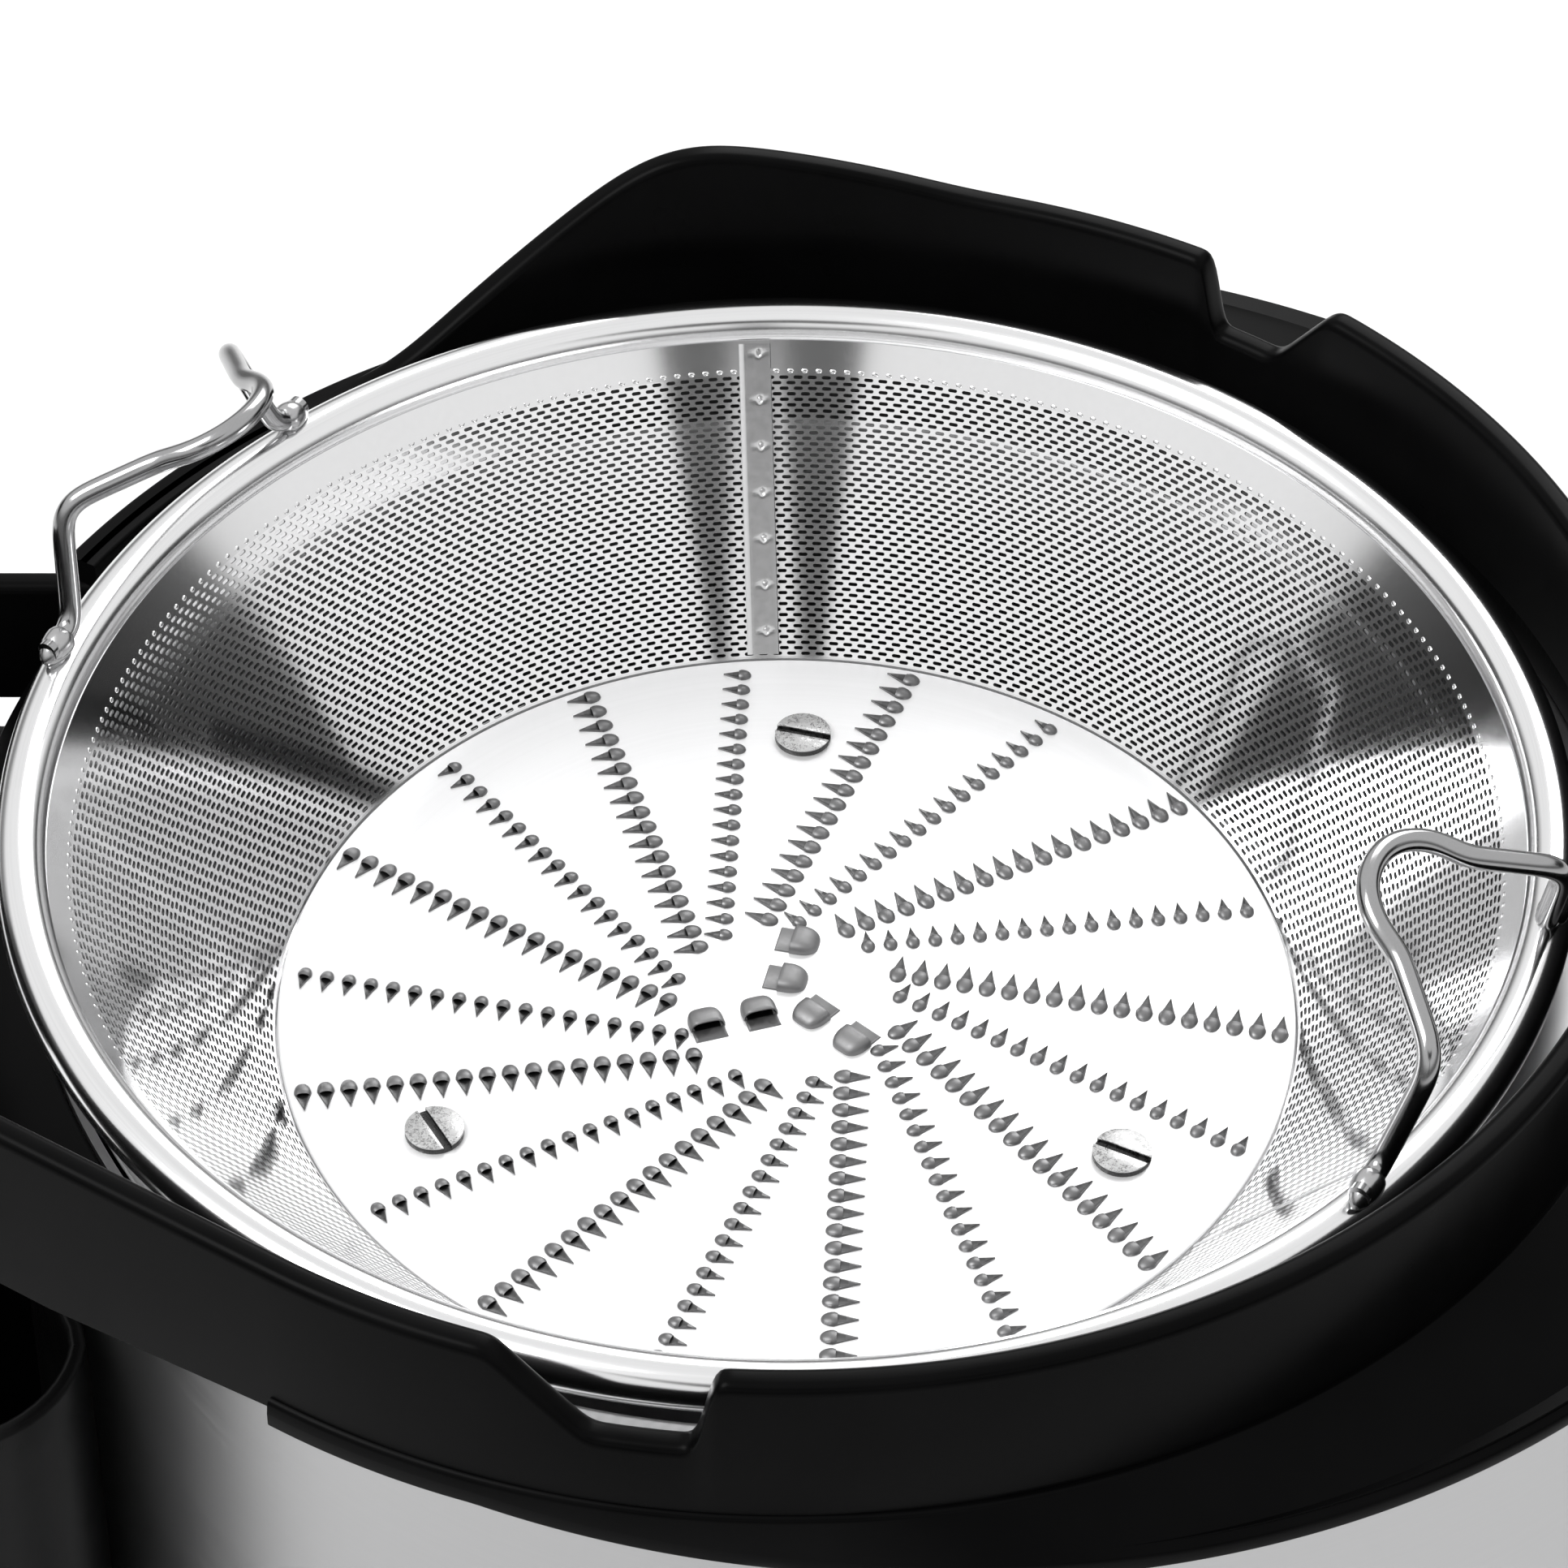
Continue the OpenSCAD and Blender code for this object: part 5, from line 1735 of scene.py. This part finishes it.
@dataclass
class Spout:
    """Juice spout that leaves the bowl at the front and turns down."""

    level: float = -19.5
    start: float = -94.6
    reach: float = -150.0
    bottom: float = -53.5
    outer: tuple[float, float] = (13.2, 12.9)
    bore: float = 12.0
    steps: tuple[float, ...] = (-34.2, -35.0, -53.0, -53.5)

    def build(self) -> None:
        """Makes and dresses the spout."""
        legs = [
            (0.0, self.start, self.level, 0),
            (0.0, self.reach, self.level, 14.5),
            (0.0, self.reach, self.bottom, 0),
        ]
        down = [(0, self.reach, z) for z in self.steps]
        path = np.concatenate([rounded(legs, 16, closed=False)[:-1], down])
        width = np.full(len(path), self.outer[0])
        width[-3:] = self.outer[1]
        width[-1] -= 0.4
        inner = np.full(len(path), self.bore)
        inner[-1] += 0.3
        sides = []
        for girth in (width, inner):
            tube = Facets()
            tube.tube(path, girth, 40, caps=False)
            sides.append(tube.points[0].reshape(-1, 40, 3))
        shape = Facets()
        shape.loft(np.concatenate([sides[0], sides[1][::-1]]), wrap=True)
        show(shape, "juice_spout_tube", "frame", [Finish.CHROME], ["juice_spout"], 40)


# ------------------------------------------------------------------ solids of the model


@dataclass
class Inside:
    """Shaft, bearings, motor, deck and wiring, kept as the model has them."""

    turned: tuple[str, ...] = ("drive_shaft", "drive_pin")
    ground: tuple[str, ...] = ("inner_races", "outer_races", "bearing_balls")
    cast: tuple[str, ...] = ("motor_casing", "motor_end_bell", "deck_plate")
    laminated: tuple[str, ...] = ("motor_rotor", "motor_stator")
    plated: tuple[str, ...] = (
        "motor_screws",
        "tie_rods",
        "tie_rod_nuts",
        "collar_screws",
        "capacitor_clip",
    )
    rubber: tuple[str, ...] = ("shaft_seal", "bowl_gasket", "spout_grommet")

    def build(self) -> None:
        """Dresses the solids."""
        groups = (
            (self.turned, Finish.TURNED, 0.4),
            (self.ground, Finish.BEARING, 0.25),
            (self.cast, Finish.CASTING, 0.8),
            (self.laminated, Finish.LAMINATED, 0.3),
            (self.plated, Finish.FASTENER, 0.3),
            (self.rubber, Finish.RUBBER, 0.5),
            (("stator_windings",), Finish.COPPER, 2.5),
            (("cooling_fan",), Finish.GREY, 0.4),
            (("run_capacitor",), Finish.WHITE, 0.5),
            (("terminal_block",), Finish.IVORY, 0.6),
            (("contact_blocks",), Finish.GREY, 0.8),
        )
        for names, finish, edge in groups:
            for name in names:
                dress(name, finish, 0.0 if name == "bearing_balls" else edge)


@dataclass
class Outside:
    """Base, feet, switch panel and gland, kept as the model has them with rounded edges."""

    feet: int = 6

    def build(self) -> None:
        """Dresses the solids."""
        feet = [(f"foot_{number}", Finish.RUBBER, 1.2) for number in range(1, self.feet + 1)]
        for name, finish, edge in (
            ("base_pan", Finish.BASE, 1.2),
            *feet,
            ("switch_bezel", Finish.BIN, 1.2),
            ("start_button", Finish.GREEN, 1.0),
            ("stop_button", Finish.RED, 1.0),
            ("cable_gland", Finish.BASE, 0.8),
        ):
            dress(name, finish, edge)


# ------------------------------------------------------------------ studio


@dataclass
class Studio:
    """Floor, light and camera."""

    camera_at: tuple[float, float, float] = (0.02388, -0.59395, 0.875)
    aim: tuple[float, float, float] = (0.02388, 0.05128, 0.262)
    roll: float = 0.057
    lens: float = 143.86
    floor_half: float = 6.0
    strips: tuple[tuple[float, float, float, float], ...] = (
        (14.2, 6.8, 0.14, 1.5),
        (-5.3, 7.1, 0.14, 1.5),
        (4.6, 3.0, 0.4, 0.0),
    )
    strip_level: float = 35.9
    strip_top: tuple[float, float] = (44.0, 50.0)
    horizon: tuple[float, float, float] = (6.0, 24.0, 0.25)
    side_gap: tuple[float, float, float, float] = (107.0, 16.0, 17.5, 0.15)
    edge: tuple[float, float] = (0.6, 1.5)
    gloss_light: float = 1.12
    plain_light: float = 0.85
    boxes: tuple[tuple[str, tuple[float, float, float], float, float], ...] = (
        ("key_lamp", (-0.9, -0.3, 1.7), 0.9, 16.0),
        ("back_lamp", (0.5, 1.5, 1.4), 1.1, 14.0),
    )

    def build(self) -> None:
        """Sets up the whole studio."""
        self.floor()
        self.sky()
        self.lamps()
        self.camera()
        bpy.context.scene.view_settings.view_transform = "Standard"

    def floor(self) -> None:
        """Lays a pale plain floor at the table's height."""
        half = self.floor_half
        mesh = bpy.data.meshes.new("studio_floor")
        corners = [(-half, -half, 0), (half, -half, 0), (half, half, 0), (-half, half, 0)]
        mesh.from_pydata(corners, [], [(0, 1, 2, 3)])
        plane = bpy.data.objects.new("studio_floor", mesh)
        bpy.context.scene.collection.objects.link(plane)
        w = Wiring("studio paper")
        w.set(Roughness=0.9, Specular_IOR_Level=0.1)
        grain = w.noise(w.place, 240.0, 2.0)
        w.paint(w.tint(grain, ((0.3, (0.9, 0.9, 0.9)), (0.7, (0.93, 0.93, 0.93)))))
        mesh.materials.append(w.material)

    def sky(self) -> None:
        """Surrounds the scene with even white light, with dark strips in its reflections."""
        world = bpy.data.worlds.new("studio sky")
        bpy.context.scene.world = world
        world.use_nodes = True
        world.node_tree.nodes.clear()
        g = Graph(world.node_tree)
        path = g.node("ShaderNodeLightPath")
        plain = g.node("ShaderNodeBackground", Strength=self.plain_light)
        mirrored = g.node("ShaderNodeBackground")
        seen = g.node("ShaderNodeBackground", Strength=1.0)
        g.link(self.dark_strips(g), mirrored.inputs["Strength"])
        first, second = g.node("ShaderNodeMixShader"), g.node("ShaderNodeMixShader")
        for ray, mix, usual, picked in (
            ("Is Glossy Ray", first, plain, mirrored),
            ("Is Camera Ray", second, first, seen),
        ):
            g.link(path.outputs[ray], mix.inputs["Fac"])
            g.link(usual.outputs[0], mix.inputs[1])
            g.link(picked.outputs[0], mix.inputs[2])
        g.link(second.outputs[0], g.node("ShaderNodeOutputWorld").inputs["Surface"])

    def dark_strips(self, g: Graph) -> bpy.types.NodeSocket:
        """Strength of the mirrored sky.

        It is low in two upright strips at the front that widen upwards, in a faint third between
        them, in a gap at each side and below the horizon.

        Args:
            g: The world's nodes.

        Returns:
            The strength's socket.
        """
        x, y, z = g.parts(g.node("ShaderNodeTexCoord").outputs["Generated"])
        degrees = math.degrees(1)
        turn = g.maths("MULTIPLY", g.maths("ARCTAN2", x, g.maths("MULTIPLY", y, -1.0)), degrees)
        rise = g.maths("MULTIPLY", g.maths("ARCSINE", z), degrees)
        narrow, wide = self.edge
        outside: object = 1.0
        for middle, half, floor, growth in self.strips:
            wider = g.maths("MULTIPLY", g.maths("SUBTRACT", rise, self.strip_level), growth)
            off = g.maths("ABSOLUTE", g.maths("SUBTRACT", turn, middle))
            past = g.maths("SUBTRACT", off, g.maths("ADD", wider, half))
            step = g.ramp(past, (-narrow, narrow), (floor, 1.0), smooth=True)
            outside = g.maths("MULTIPLY", step, outside)
        above = g.ramp(rise, self.strip_top, (0.0, 1.0), smooth=True)
        place, half, top, floor = self.side_gap
        off = g.maths("ABSOLUTE", g.maths("SUBTRACT", g.maths("ABSOLUTE", turn), place))
        past_side = g.ramp(off, (half - wide, half + wide), (floor, 1.0), smooth=True)
        past_top = g.ramp(rise, (top - wide, top + wide), (0.0, 1.0), smooth=True)
        outside = g.maths("MULTIPLY", g.maths("MAXIMUM", past_side, past_top), outside)
        low, high, dark = self.horizon
        ground = g.ramp(rise, (low, high), (dark, 1.0), smooth=True)
        front = g.maths("MULTIPLY", g.maths("MAXIMUM", outside, above), ground)
        return g.maths("MULTIPLY", front, self.gloss_light)

    def lamps(self) -> None:
        """Hangs two soft boxes."""
        for name, at, size, power in self.boxes:
            lamp = bpy.data.lights.new(name, "AREA")
            lamp.energy, lamp.size = power, size
            holder = bpy.data.objects.new(name, lamp)
            holder.location = at
            aim = Vector(self.aim) - Vector(at)
            holder.rotation_euler = aim.to_track_quat("-Z", "Y").to_euler()
            bpy.context.scene.collection.objects.link(holder)

    def camera(self) -> None:
        """Places the camera."""
        camera = bpy.data.cameras.new("studio_camera")
        camera.lens, camera.sensor_width = self.lens, 36.0
        camera.clip_start, camera.clip_end = 0.05, 50
        holder = bpy.data.objects.new("studio_camera", camera)
        holder.location = self.camera_at
        aim = (Vector(self.aim) - Vector(self.camera_at)).to_track_quat("-Z", "Y")
        roll = Matrix.Rotation(math.radians(self.roll), 3, "Z").to_quaternion()
        holder.rotation_euler = (aim @ roll).to_euler()
        bpy.context.scene.collection.objects.link(holder)
        bpy.context.scene.camera = holder


def main() -> None:
    """Builds the machine and its studio."""
    logging.basicConfig(level=logging.INFO, format="%(message)s")
    for part in (
        GraterDisc(),
        Sieve(),
        BasketRim(),
        BasketUnderside(),
        Collar(),
        PulpBin(),
        Housing(),
        Bowl(),
        Spout(),
        Inside(),
        Outside(),
        Studio(),
    ):
        part.build()


if __name__ == "__main__":
    main()
